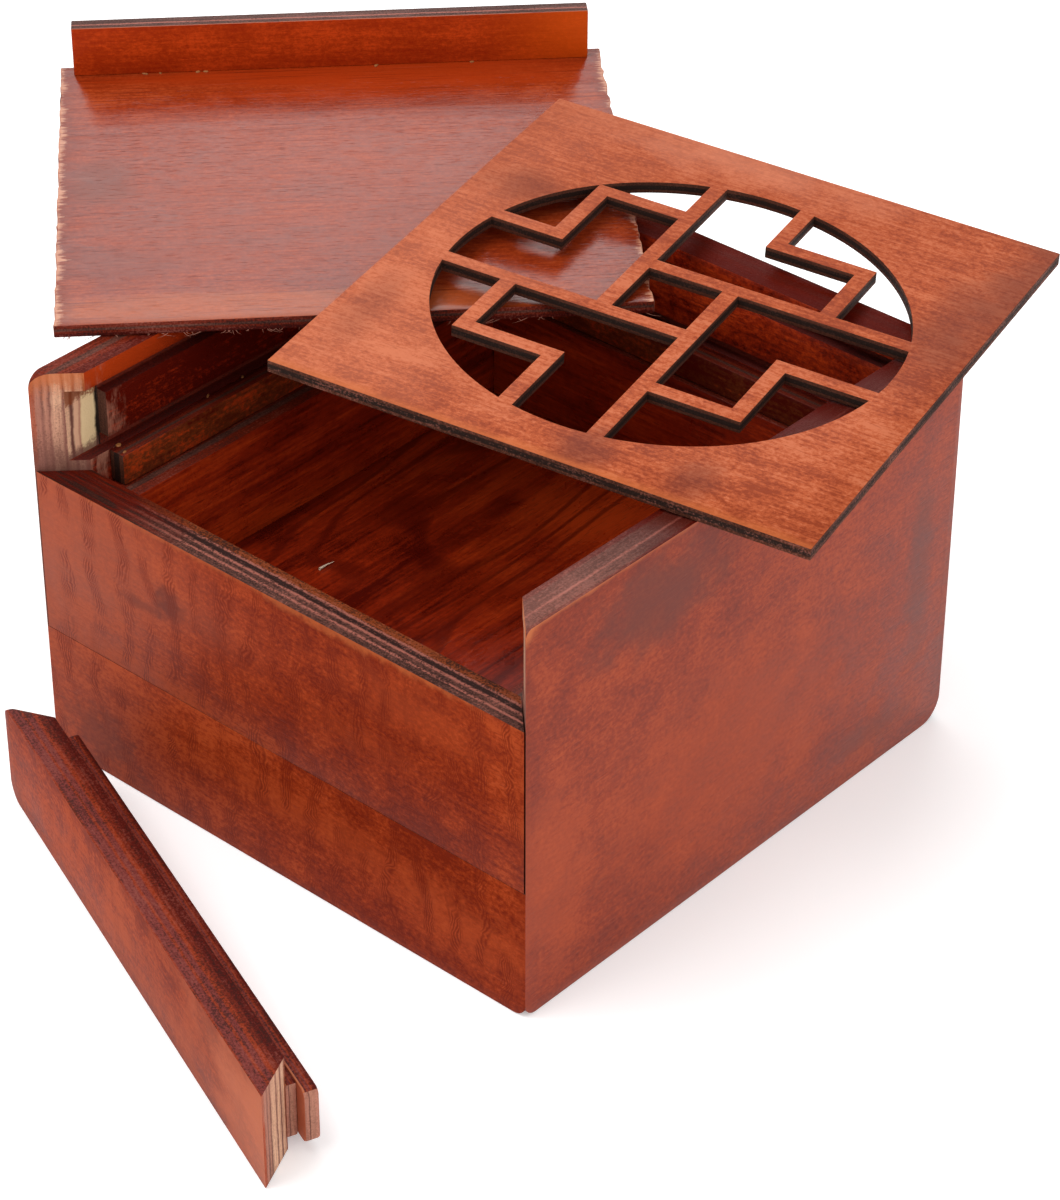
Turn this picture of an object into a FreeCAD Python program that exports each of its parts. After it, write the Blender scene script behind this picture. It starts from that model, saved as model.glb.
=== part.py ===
import FreeCAD
import Part
import Sketcher
import os

# A square plywood puzzle box: four mitred walls, a sliding tray that closes the
# upper part of the front, a key bar that seals the tray, a sliding lid with a
# fence, and a fretwork top panel with a round window.  Lengths in millimetres,
# angles in degrees.  The origin is the middle of the underside, +Z is up and
# the front faces -Y.  The key bar, the lid and the fretwork panel are modelled
# flat about their own origins and laid beside and on top of the open box.

SIZES = (
    # the box
    ("box_width", 150.0),
    ("box_depth", 150.0),
    ("box_height", 103.4),
    ("wall_t", 9.0),
    ("base_t", 5.0),
    ("rail_height", 34.6),
    ("front_corner_r", 3.5),
    ("back_corner_r", 6.5),
    ("top_corner_left_r", 4.0),
    ("top_corner_right_r", 2.0),
    # grooves and pockets in the walls
    ("groove_depth", 3.0),
    ("lip_height", 4.8),
    ("lattice_groove", 3.2),
    ("lid_groove", 3.4),
    ("pocket_depth", 3.4),
    ("pocket_run", 15.0),
    ("pocket_height", 15.2),
    ("pocket_sill", 2.5),
    # strips glued to the walls
    ("ledge_proud", 4.5),
    ("ledge_height", 8.0),
    ("runner_proud", 6.0),
    ("runner_height", 9.0),
    # the tray
    ("tray_wall_t", 9.0),
    ("tray_back_t", 5.0),
    ("tray_floor_t", 9.0),
    # the key bar
    ("neck_t", 2.7),
    ("tongue_t", 3.5),
    ("tongue_r", 2.0),
    ("bar_corner_r", 5.0),
    ("bar_top_corner_r", 2.0),
    # the lid and its fence
    ("lid_t", 3.2),
    ("fence_t", 5.0),
    ("fence_height", 13.1),
    # the fretwork panel
    ("lattice_t", 3.0),
    ("window_margin", 11.5),
    ("window_off_x", 2.6),
    ("window_off_y", -3.2),
    ("panel_off_x", 2.9),
    ("panel_off_y", -1.8),
    ("fret_width", 4.0),
    ("fret_root", 5.0),
    ("corner_bite", 0.3),
    # clearances
    ("slide_gap", 0.3),
    ("tray_gap", 0.1),
    ("panel_play", 0.5),
    ("mitre_gap", 0.45),
    ("neck_gap", 0.7),
    ("fence_gap", 0.8),
    ("lattice_gap", 1.5),
    ("rest_gap", 0.3),
    ("cut_over", 1.0),
    # where the loose pieces lie
    ("bar_rest_x", 1.1),
    ("bar_clear", 8.5),
    ("bar_rest_yaw", 21.7),
    ("lid_rest_x", -34.5),
    ("lid_rest_y", -10.7),
    ("lid_rest_yaw", 46.5),
    ("lattice_rest_x", 17.3),
    ("lattice_rest_y", 38.0),
    ("lattice_rest_yaw", 13.3),
)

doc = FreeCAD.newDocument("puzzle_box")
sheet = doc.addObject("Spreadsheet::Sheet", "dims")
for row, (alias, number) in enumerate(SIZES, start=1):
    sheet.set("A%d" % row, alias)
    sheet.set("B%d" % row, str(number))
    sheet.setAlias("B%d" % row, alias)
doc.recompute()

NODES = []


def d(alias):
    """The expression that reads one named size."""
    return "dims." + alias


# Sizes that follow from the named ones, written once as expressions.
HALF_W = "(%s / 2)" % d("box_width")
HALF_D = "(%s / 2)" % d("box_depth")
T = d("wall_t")
TOP = d("box_height")
IN_W = "(%s - %s)" % (HALF_W, T)
IN_D = "(%s - %s)" % (HALF_D, T)
SOFFIT = "(%s - %s)" % (TOP, d("lip_height"))
LATTICE_SEAT = "(%s - %s)" % (SOFFIT, d("lattice_groove"))
LEDGE_TOP = "(%s - %s)" % (LATTICE_SEAT, d("pocket_height"))
LEDGE_BOTTOM = "(%s - %s)" % (LEDGE_TOP, d("ledge_height"))
TRAY_Z0 = "(%s + %s)" % (d("rail_height"), d("tray_gap"))
TRAY_TOP = "(%s - %s)" % (LEDGE_TOP, d("pocket_sill"))
TRAY_SIDE_TOP = "(%s - %s)" % (LEDGE_BOTTOM, d("slide_gap"))
TRAY_HALF_W = "(%s - %s)" % (IN_W, d("slide_gap"))
TRAY_INNER = "(%s - %s)" % (TRAY_HALF_W, d("tray_wall_t"))
TRAY_REAR = "(%s - %s)" % (IN_D, d("panel_play"))
BAR_Z0 = "(%s + %s)" % (TRAY_TOP, d("slide_gap"))
BAR_HEIGHT = "(%s - %s)" % (TOP, BAR_Z0)
BAR_HALF = "(%s - %s)" % (HALF_W, d("slide_gap"))
PANEL_HALF = "(%s + %s - %s)" % (IN_W, d("groove_depth"), d("slide_gap"))
LATTICE_HALF = "(%s + %s - %s / 2)" % (IN_W, d("groove_depth"), d("panel_play"))
GROOVE_REAR = "(%s + %s)" % (IN_D, d("groove_depth"))
LID_DEPTH = "(%s + %s - %s - 2 * %s)" % (GROOVE_REAR, HALF_D, d("pocket_run"), d("panel_play"))
LATTICE_DEPTH = "(%s + %s - %s - %s)" % (GROOVE_REAR, IN_D, d("panel_play"), d("lattice_gap"))
WINDOW_R = "(min(%s; %s / 2) - %s)" % (LATTICE_HALF, LATTICE_DEPTH, d("window_margin"))


def neg(expression):
    return "-(%s)" % expression


def value(owner, expression):
    """The number an expression gives with the sizes as they stand."""
    return float(owner.evalExpression(expression))


def new_body(name):
    body = doc.addObject("PartDesign::Body", name)
    body.Label = name
    NODES.append(body)
    return body


def new_sketch(body, name, role, offset="0"):
    """A sketch on one of the body's own planes, moved along its normal."""
    sketch = body.newObject("Sketcher::SketchObject", name)
    plane = [f for f in body.Origin.OriginFeatures if f.Role == role][0]
    sketch.AttachmentSupport = [(plane, "")]
    sketch.MapMode = "FlatFace"
    sketch.setExpression("AttachmentOffset.Base.z", offset)
    return sketch


def pin(sketch, edge, end, x, y):
    """Holds one end of an edge at the place two expressions give."""
    for kind, expression in (("DistanceX", x), ("DistanceY", y)):
        index = sketch.addConstraint(
            Sketcher.Constraint(kind, -1, 1, edge, end, value(sketch, expression)))
        sketch.setExpression("Constraints[%d]" % index, expression)


def loop(sketch, corners):
    """A closed anticlockwise outline; a corner may carry a radius as a third item."""
    count = len(corners)
    place = [(value(sketch, c[0]), value(sketch, c[1])) for c in corners]
    ends = []
    for i, corner in enumerate(corners):
        if len(corner) == 2:
            ends.append(((corner[0], corner[1]), (corner[0], corner[1]), None))
            continue
        here, before, after = place[i], place[i - 1], place[(i + 1) % count]
        pair = []
        for other in (before, after):
            dx, dy = other[0] - here[0], other[1] - here[1]
            sx = (dx > 1e-6) - (dx < -1e-6)
            sy = (dy > 1e-6) - (dy < -1e-6)
            pair.append(("%s + %d * %s" % (corner[0], sx, corner[2]),
                         "%s + %d * %s" % (corner[1], sy, corner[2])))
        ends.append((pair[0], pair[1], corner[2]))
    lines = []
    for i in range(count):
        a, b = ends[i][1], ends[(i + 1) % count][0]
        pa = FreeCAD.Vector(value(sketch, a[0]), value(sketch, a[1]), 0)
        pb = FreeCAD.Vector(value(sketch, b[0]), value(sketch, b[1]), 0)
        line = sketch.addGeometry(Part.LineSegment(pa, pb))
        lines.append(line)
        pin(sketch, line, 1, a[0], a[1])
    for i in range(count):
        line, after = lines[i], (i + 1) % count
        start, finish, radius = ends[after]
        if radius is None:
            sketch.addConstraint(Sketcher.Constraint("Coincident", line, 2, lines[after], 1))
            continue
        pin(sketch, line, 2, start[0], start[1])
        r = value(sketch, radius)
        ps = FreeCAD.Vector(value(sketch, start[0]), value(sketch, start[1]), 0)
        pf = FreeCAD.Vector(value(sketch, finish[0]), value(sketch, finish[1]), 0)
        corner = FreeCAD.Vector(place[after][0], place[after][1], 0)
        centre = ps + pf - corner
        circle = Part.Circle(centre, FreeCAD.Vector(0, 0, 1), r)
        arc = sketch.addGeometry(Part.ArcOfCircle(circle, circle.parameter(ps), circle.parameter(pf)))
        sketch.addConstraint(Sketcher.Constraint("Coincident", line, 2, arc, 1))
        sketch.addConstraint(Sketcher.Constraint("Coincident", arc, 2, lines[after], 1))
        index = sketch.addConstraint(Sketcher.Constraint("Radius", arc, r))
        sketch.setExpression("Constraints[%d]" % index, radius)


def pad(body, name, sketch, length):
    feature = body.newObject("PartDesign::Pad", name)
    feature.Profile = sketch
    feature.setExpression("Length", length)
    sketch.Visibility = False
    return feature


def cut_through(body, name, sketch):
    feature = body.newObject("PartDesign::Pocket", name)
    feature.Profile = sketch
    feature.Type = "ThroughAll"
    feature.Midplane = True
    sketch.Visibility = False
    return feature


def cut_box(body, name, x0, x1, y0, y1, z0, z1):
    """A square-cornered channel or recess between two places on each axis."""
    feature = body.newObject("PartDesign::SubtractiveBox", name)
    for side, low, high in (("Length", x0, x1), ("Width", y0, y1), ("Height", z0, z1)):
        feature.setExpression(side, "(%s) - (%s)" % (high, low))
    for axis, low in (("x", x0), ("y", y0), ("z", z0)):
        feature.setExpression(".Placement.Base." + axis, low)
    return feature


def board(name, x0, x1, y0, y1, z0, z1):
    """A square-edged board or strip."""
    body = new_body(name)
    outline = new_sketch(body, name + "_outline", "XY_Plane", z0)
    loop(outline, ((x0, y0), (x1, y0), (x1, y1), (x0, y1)))
    pad(body, name + "_board", outline, "(%s) - (%s)" % (z1, z0))
    return body


def mitre(body, name, corners):
    """Cuts the end of a board along a 45 degree plane seen from above."""
    outline = new_sketch(body, name, "XY_Plane")
    loop(outline, corners)
    cut_through(body, name + "_cut", outline)


# ---------------------------------------------------------------- the walls

OVER = d("cut_over")


def side_wall(name, sign, top_radius):
    """A side wall: outline seen from the side, mitred front and back, with the
    two panel grooves and the pocket that takes one end of the key tongue."""
    body = new_body(name)
    outer = "(%d * %s)" % (sign, HALF_W)
    inner = "(%d * %s)" % (sign, IN_W)
    deep = "(%d * (%s + %s))" % (sign, IN_W, d("groove_depth"))
    pocket = "(%d * (%s + %s))" % (sign, IN_W, d("pocket_depth"))
    outline = new_sketch(body, name + "_outline", "YZ_Plane", outer if sign < 0 else inner)
    loop(outline, ((neg(HALF_D), "0", d("front_corner_r")), (HALF_D, "0", d("back_corner_r")),
                   (HALF_D, TOP, d("top_corner_right_r")), (neg(HALF_D), TOP, top_radius)))
    pad(body, name + "_board", outline, T)
    for end, way in (("front", -1), ("back", 1)):
        far = "(%d * (%s + %s))" % (way, HALF_D, OVER)
        near = "(%d * (%s - %s))" % (way, IN_D, OVER)
        out_x = "(%d * (%s + %s))" % (sign, HALF_W, OVER)
        in_x = "(%d * (%s - %s))" % (sign, IN_W, OVER)
        corners = [(out_x, far), (in_x, near), (in_x, far)]
        if sign * way < 0:
            corners.reverse()
        mitre(body, "%s_%s_mitre" % (name, end), corners)
    low, high = (deep, inner) if sign < 0 else (inner, deep)
    cut_box(body, name + "_top_groove", low, high, neg(HALF_D), HALF_D, LATTICE_SEAT, SOFFIT)
    cut_box(body, name + "_lid_groove", low, high, neg(HALF_D), HALF_D,
            LEDGE_TOP, "%s + %s" % (LEDGE_TOP, d("lid_groove")))
    low, high = (pocket, inner) if sign < 0 else (inner, pocket)
    cut_box(body, name + "_pocket", low, high, neg(HALF_D),
            "%s + %s" % (neg(HALF_D), d("pocket_run")), LEDGE_TOP, SOFFIT)
    return body


side_wall("left_wall", -1, d("top_corner_left_r"))
side_wall("right_wall", 1, d("top_corner_right_r"))

# The back wall carries the two grooves round from one side wall to the other.
back = new_body("back_wall")
outline = new_sketch(back, "back_wall_outline", "XZ_Plane", neg(HALF_D))
loop(outline, ((neg(HALF_W), "0", d("back_corner_r")), (HALF_W, "0", d("back_corner_r")),
               (HALF_W, TOP, d("top_corner_right_r")), (neg(HALF_W), TOP, d("top_corner_right_r"))))
pad(back, "back_wall_board", outline, T)
for side, sign in (("left", -1), ("right", 1)):
    far = "(%d * (%s + %s))" % (sign, HALF_W, OVER)
    near = "(%d * (%s - %s))" % (sign, IN_W, OVER)
    corners = [(far, "%s + %s" % (HALF_D, OVER)), (far, "%s - %s" % (IN_D, OVER)),
               (near, "%s - %s" % (IN_D, OVER))]
    if sign > 0:
        corners.reverse()
    mitre(back, "back_wall_%s_mitre" % side, corners)
cut_box(back, "back_wall_top_groove", neg(HALF_W), HALF_W, IN_D, GROOVE_REAR,
        LATTICE_SEAT, SOFFIT)
cut_box(back, "back_wall_lid_groove", neg(HALF_W), HALF_W, IN_D, GROOVE_REAR,
        LEDGE_TOP, "%s + %s" % (LEDGE_TOP, d("lid_groove")))

# The fixed lower rail of the front.
rail = new_body("front_rail")
outline = new_sketch(rail, "front_rail_outline", "XZ_Plane", IN_D)
loop(outline, ((neg(HALF_W), "0", d("front_corner_r")), (HALF_W, "0", d("front_corner_r")),
               (HALF_W, d("rail_height")), (neg(HALF_W), d("rail_height"))))
pad(rail, "front_rail_board", outline, T)
for side, sign in (("left", -1), ("right", 1)):
    far = "(%d * (%s + %s))" % (sign, HALF_W, OVER)
    near = "(%d * (%s - %s))" % (sign, IN_W, OVER)
    corners = [(far, neg("%s + %s" % (HALF_D, OVER))), (far, neg("%s - %s" % (IN_D, OVER))),
               (near, neg("%s - %s" % (IN_D, OVER)))]
    if sign < 0:
        corners.reverse()
    mitre(rail, "front_rail_%s_mitre" % side, corners)

board("base_board", neg(IN_W), IN_W, neg(IN_D), IN_D, "0", d("base_t"))

# Strips inside: the ledges carry the lid, the runners carry the tray.
ledge_front = "%s + %s" % (neg(HALF_D), d("pocket_run"))
board("ledge_left", neg(IN_W), "%s + %s" % (neg(IN_W), d("ledge_proud")),
      ledge_front, IN_D, LEDGE_BOTTOM, LEDGE_TOP)
board("ledge_right", "%s - %s" % (IN_W, d("ledge_proud")), IN_W,
      ledge_front, IN_D, LEDGE_BOTTOM, LEDGE_TOP)
board("ledge_back", "%s + %s" % (neg(IN_W), d("ledge_proud")),
      "%s - %s" % (IN_W, d("ledge_proud")),
      "%s - %s" % (IN_D, d("ledge_proud")), IN_D, LEDGE_BOTTOM, LEDGE_TOP)
runner_bottom = "%s - %s" % (d("rail_height"), d("runner_height"))
board("runner_left", neg(IN_W), "%s + %s" % (neg(IN_W), d("runner_proud")),
      neg(IN_D), IN_D, runner_bottom, d("rail_height"))
board("runner_right", "%s - %s" % (IN_W, d("runner_proud")), IN_W,
      neg(IN_D), IN_D, runner_bottom, d("rail_height"))

# ----------------------------------------------------------------- the tray

front = new_body("tray_front")
outline = new_sketch(front, "tray_front_outline", "XY_Plane", TRAY_Z0)
wide = "(%s - %s)" % (HALF_W, d("mitre_gap"))
narrow = "(%s - %s)" % (IN_W, d("mitre_gap"))
loop(outline, ((neg(wide), neg(HALF_D)), (wide, neg(HALF_D)),
               (narrow, neg(IN_D)), (neg(narrow), neg(IN_D))))
pad(front, "tray_front_board", outline, "%s - %s" % (TRAY_TOP, TRAY_Z0))

board("tray_left_side", neg(TRAY_HALF_W), neg(TRAY_INNER), neg(IN_D), TRAY_REAR,
      TRAY_Z0, TRAY_SIDE_TOP)
board("tray_right_side", TRAY_INNER, TRAY_HALF_W, neg(IN_D), TRAY_REAR,
      TRAY_Z0, TRAY_SIDE_TOP)
board("tray_back", neg(TRAY_INNER), TRAY_INNER,
      "%s - %s" % (TRAY_REAR, d("tray_back_t")), TRAY_REAR, TRAY_Z0, TRAY_SIDE_TOP)
board("tray_floor", neg(TRAY_INNER), TRAY_INNER, neg(IN_D),
      "%s - %s" % (TRAY_REAR, d("tray_back_t")),
      TRAY_Z0, "%s + %s" % (TRAY_Z0, d("tray_floor_t")))

# -------------------------------------------------------------- the key bar

# It lies with its outer face forward, its far end drawn back towards the box.
TONGUE_HALF = "(%s + %s - %s)" % (IN_W, d("pocket_depth"), d("slide_gap"))
BAR_DEEP = "(%s + %s + %s)" % (T, d("neck_t"), d("tongue_t"))
BAR_REST_Y = neg("%s + %s + %s * sin(%s) + %s * cos(%s)" % (
    HALF_D, d("bar_clear"), TONGUE_HALF, d("bar_rest_yaw"), BAR_DEEP, d("bar_rest_yaw")))
BAR_PLACE = "placement(vector(%s; %s; 0); rotation(vector(0; 0; 1); -%s))" % (
    d("bar_rest_x"), BAR_REST_Y, d("bar_rest_yaw"))

face = new_body("key_bar_face")
outline = new_sketch(face, "key_bar_face_outline", "XZ_Plane", neg(T))
loop(outline, ((neg(BAR_HALF), "0", d("bar_corner_r")), (BAR_HALF, "0"),
               (BAR_HALF, BAR_HEIGHT), (neg(BAR_HALF), BAR_HEIGHT, d("bar_top_corner_r"))))
pad(face, "key_bar_face_board", outline, T)
for side, sign in (("left", -1), ("right", 1)):
    far = "(%d * (%s + %s))" % (sign, BAR_HALF, OVER)
    near = "(%d * (%s - %s - %s))" % (sign, BAR_HALF, T, OVER)
    corners = [(far, neg(OVER)), (far, "%s + %s" % (T, OVER)), (near, "%s + %s" % (T, OVER))]
    if sign < 0:
        corners.reverse()
    mitre(face, "key_bar_face_%s_mitre" % side, corners)
face.setExpression("Placement", BAR_PLACE)

# The tongue fills the wall pockets between the ledges and the fretwork's groove.
TONGUE_Z0 = "(%s + %s - %s)" % (LEDGE_TOP, d("slide_gap"), BAR_Z0)
TONGUE_Z1 = "(%s - %s - %s)" % (LATTICE_SEAT, d("slide_gap"), BAR_Z0)
neck_half = "(%s - %s)" % (IN_W, d("neck_gap"))
neck = board("key_bar_neck", neg(neck_half), neck_half, T, "%s + %s" % (T, d("neck_t")),
             TONGUE_Z0, TONGUE_Z1)
neck.setExpression("Placement", BAR_PLACE)

tongue = new_body("key_bar_tongue")
outline = new_sketch(tongue, "key_bar_tongue_outline", "XZ_Plane", neg(BAR_DEEP))
loop(outline, ((neg(TONGUE_HALF), TONGUE_Z0, d("tongue_r")), (TONGUE_HALF, TONGUE_Z0, d("tongue_r")),
               (TONGUE_HALF, TONGUE_Z1, d("tongue_r")), (neg(TONGUE_HALF), TONGUE_Z1, d("tongue_r"))))
pad(tongue, "key_bar_tongue_board", outline, d("tongue_t"))
tongue.setExpression("Placement", BAR_PLACE)

# ------------------------------------------------------ the lid and its fence

LID_PLACE = "placement(vector(%s; %s; %s + %s); rotation(vector(0; 0; 1); %s))" % (
    d("lid_rest_x"), d("lid_rest_y"), TOP, d("rest_gap"), d("lid_rest_yaw"))
lid = board("lid_panel", neg(PANEL_HALF), PANEL_HALF, "0", LID_DEPTH, "0", d("lid_t"))
lid.setExpression("Placement", LID_PLACE)
fence_half = "(%s - %s)" % (IN_W, d("fence_gap"))
fence = board("lid_fence", neg(fence_half), fence_half,
              "%s - %s" % (LID_DEPTH, d("fence_t")), LID_DEPTH,
              d("lid_t"), "%s + %s" % (d("lid_t"), d("fence_height")))
fence.setExpression("Placement", LID_PLACE)

# -------------------------------------------------------- the fretwork panel

lattice = new_body("lattice_panel")
outline = new_sketch(lattice, "lattice_outline", "XY_Plane")
half_depth = "(%s / 2)" % LATTICE_DEPTH
x0, x1 = ("%s %s %s" % (d("panel_off_x"), way, half_depth) for way in "-+")
y0, y1 = ("%s %s %s" % (d("panel_off_y"), way, LATTICE_HALF) for way in "-+")
loop(outline, ((x0, y0), (x1, y0), (x1, y1), (x0, y1)))
pad(lattice, "lattice_board", outline, d("lattice_t"))
window = new_sketch(lattice, "lattice_window", "XY_Plane")
centre = FreeCAD.Vector(value(window, d("window_off_x")), value(window, d("window_off_y")), 0)
ring = window.addGeometry(Part.Circle(centre, FreeCAD.Vector(0, 0, 1), value(window, WINDOW_R)))
pin(window, ring, 3, d("window_off_x"), d("window_off_y"))
index = window.addConstraint(Sketcher.Constraint("Radius", ring, value(window, WINDOW_R)))
window.setExpression("Constraints[%d]" % index, WINDOW_R)
cut_through(lattice, "lattice_window_cut", window)

# One quarter of the fret: a straight bar from the window's edge to the far line
# of the middle square, and a stepped bar that turns twice.  Four quarters make
# the pinwheel.  The fret is the panel's origin; window and panel sit a little
# off it, so the stepped bar's corner runs into the window's edge on one side.
B = "(%s / 2)" % d("fret_width")
P = "((((%s + %s) / sqrt(2)) - %s - (%s - %s) / 2) / 1.5)" % (
    WINDOW_R, d("corner_bite"), B, d("window_off_x"), d("window_off_y"))
EDGE = neg("%s + %s" % (WINDOW_R, d("fret_root")))
arm = new_sketch(lattice, "lattice_arm", "XY_Plane")
loop(arm, ((EDGE, "-0.5 * %s - %s" % (P, B)), ("0.5 * %s - %s" % (P, B), "-0.5 * %s - %s" % (P, B)),
           ("0.5 * %s - %s" % (P, B), "-0.5 * %s + %s" % (P, B)), (EDGE, "-0.5 * %s + %s" % (P, B))))
pad_arm = pad(lattice, "lattice_arm_bar", arm, d("lattice_t"))
step = new_sketch(lattice, "lattice_step", "XY_Plane")
loop(step, ((EDGE, "0.5 * %s - %s" % (P, B)), ("-1.5 * %s + %s" % (P, B), "0.5 * %s - %s" % (P, B)),
            ("-1.5 * %s + %s" % (P, B), "1.5 * %s - %s" % (P, B)),
            ("-0.5 * %s" % P, "1.5 * %s - %s" % (P, B)),
            ("-0.5 * %s" % P, "1.5 * %s + %s" % (P, B)),
            ("-1.5 * %s - %s" % (P, B), "1.5 * %s + %s" % (P, B)),
            ("-1.5 * %s - %s" % (P, B), "0.5 * %s + %s" % (P, B)), (EDGE, "0.5 * %s + %s" % (P, B))))
pad_step = pad(lattice, "lattice_step_bar", step, d("lattice_t"))
quarters = lattice.newObject("PartDesign::PolarPattern", "lattice_quarters")
quarters.Originals = [pad_arm, pad_step]
quarters.Axis = ([f for f in lattice.Origin.OriginFeatures if f.Role == "Z_Axis"][0], [""])
quarters.Angle = 360
quarters.Occurrences = 4
lattice.Tip = quarters

# It lies across the right wall and the lid, so it leans down to the right.
LID_CORNER_X = "(%s + %s * cos(%s))" % (d("lid_rest_x"), PANEL_HALF, d("lid_rest_yaw"))
LEAN = "atan((%s + 1.5 * %s) / (%s - %s))" % (d("lid_t"), d("rest_gap"), HALF_W, LID_CORNER_X)
LATTICE_Z = "(%s + %s + (%s - %s) * tan(%s))" % (TOP, d("rest_gap"), HALF_W, d("lattice_rest_x"), LEAN)
lattice.setExpression("Placement", "placement(vector(%s; %s; %s); rotation(vector(0; 1; 0); %s)"
                      " * rotation(vector(0; 0; 1); %s))" % (
                          d("lattice_rest_x"), d("lattice_rest_y"), LATTICE_Z, LEAN,
                          d("lattice_rest_yaw")))

# ------------------------------------------------------------ check and write

doc.recompute()
for obj in doc.Objects:
    state = [str(s) for s in obj.State]
    if "Invalid" in state or "Error" in state:
        raise RuntimeError("%s did not compute: %s" % (obj.Name, state))
os.makedirs("parts", exist_ok=True)
for body in NODES:
    shape = body.Shape
    if shape.isNull() or not shape.isValid():
        raise RuntimeError("%s has no valid shape" % body.Label)
    if len(shape.Solids) != 1:
        raise RuntimeError("%s is %d solids" % (body.Label, len(shape.Solids)))
    shape.exportStep("parts/%s.step" % body.Label)
    box = shape.BoundBox
    print("%-16s volume %9.1f  x %7.2f %7.2f  y %7.2f %7.2f  z %7.2f %7.2f" % (
        body.Label, shape.Volume, box.XMin, box.XMax, box.YMin, box.YMax, box.ZMin, box.ZMax))
print("wrote %d pieces" % len(NODES))
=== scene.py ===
import math
import random

import bpy
from bpy.props import FloatProperty, FloatVectorProperty, IntProperty, PointerProperty
from bpy.types import Operator, Panel, PropertyGroup
from mathutils import Matrix, Vector


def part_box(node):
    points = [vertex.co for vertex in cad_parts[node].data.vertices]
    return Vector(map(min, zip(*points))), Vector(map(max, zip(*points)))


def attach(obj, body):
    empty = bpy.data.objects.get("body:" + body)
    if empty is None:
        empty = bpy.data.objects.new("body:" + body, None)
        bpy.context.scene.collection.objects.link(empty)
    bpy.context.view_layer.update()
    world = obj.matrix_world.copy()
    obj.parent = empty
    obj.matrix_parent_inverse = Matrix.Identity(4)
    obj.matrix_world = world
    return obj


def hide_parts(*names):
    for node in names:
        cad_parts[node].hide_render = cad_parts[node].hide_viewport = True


bl_info = {
    "name": "Puzzle box",
    "version": (1, 0, 0),
    "blender": (4, 5, 0),
    "location": "View3D > Sidebar > Puzzle box",
    "description": "Dresses the boards of a plywood puzzle box in their veneers, ply edges and cut marks",
    "category": "Object",
}

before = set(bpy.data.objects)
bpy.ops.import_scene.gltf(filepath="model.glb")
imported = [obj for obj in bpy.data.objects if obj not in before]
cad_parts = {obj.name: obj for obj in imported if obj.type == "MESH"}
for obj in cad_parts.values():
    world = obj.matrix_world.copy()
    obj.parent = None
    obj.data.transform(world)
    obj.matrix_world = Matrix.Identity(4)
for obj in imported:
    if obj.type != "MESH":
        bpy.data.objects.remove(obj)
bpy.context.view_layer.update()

X = Vector((1.0, 0.0, 0.0))
Y = Vector((0.0, 1.0, 0.0))
Z = Vector((0.0, 0.0, 1.0))


# ------------------------------------------------------------------ settings


def tint(name, description, default):
    """A colour that can be changed in the sidebar."""
    return FloatVectorProperty(
        name=name, description=description, subtype="COLOR", size=3, min=0.0, max=1.0, default=default)


def length(name, description, default):
    """A length that can be changed in the sidebar."""
    return FloatProperty(
        name=name, description=description, subtype="DISTANCE", unit="LENGTH", min=0.0, precision=5,
        default=default)


def level(name, description, default):
    """A power or brightness that can be changed in the sidebar."""
    return FloatProperty(name=name, description=description, min=0.0, default=default)


class BoardSettings(PropertyGroup):
    """How the boards' arrises are softened and frayed."""

    wall_arris: length("Wall arris", "Width of the softened edge on the walls and the tray", 0.0004)
    front_arris: length("Front arris", "Width of the softened edge where the front boards meet", 0.00006)
    bar_arris: length("Key bar arris", "Width of the softened edge on the key bar", 0.0005)
    lid_arris: length("Lid arris", "Width of the softened edge on the lid and its fence", 0.0003)
    fret_arris: length("Fret arris", "Width of the softened edge on the fretwork", 0.00015)
    arris_steps: IntProperty(
        name="Arris steps", description="Facets across a softened edge", min=1, max=4, default=2)
    hair: length("Hair", "Distance within which two places count as one", 0.0002)
    chip_depth: length("Chip depth", "Depth of the chips along the lid's scraped sides", 0.0006)
    chip_count: IntProperty(
        name="Chip count", description="Chips along each of the lid's scraped sides", min=1, default=60)
    fibre_length: length("Fibre length", "Length of the longest torn fibre", 0.0022)
    fibre_thickness: length("Fibre thickness", "Half the thickness of a torn fibre", 0.00009)
    fibre_count: IntProperty(
        name="Fibres", description="Torn fibres along the lid's near edge", min=0, default=70)
    splinter_thickness: length("Splinter", "Half the thickness of the splinter in the tray", 0.00035)


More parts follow.
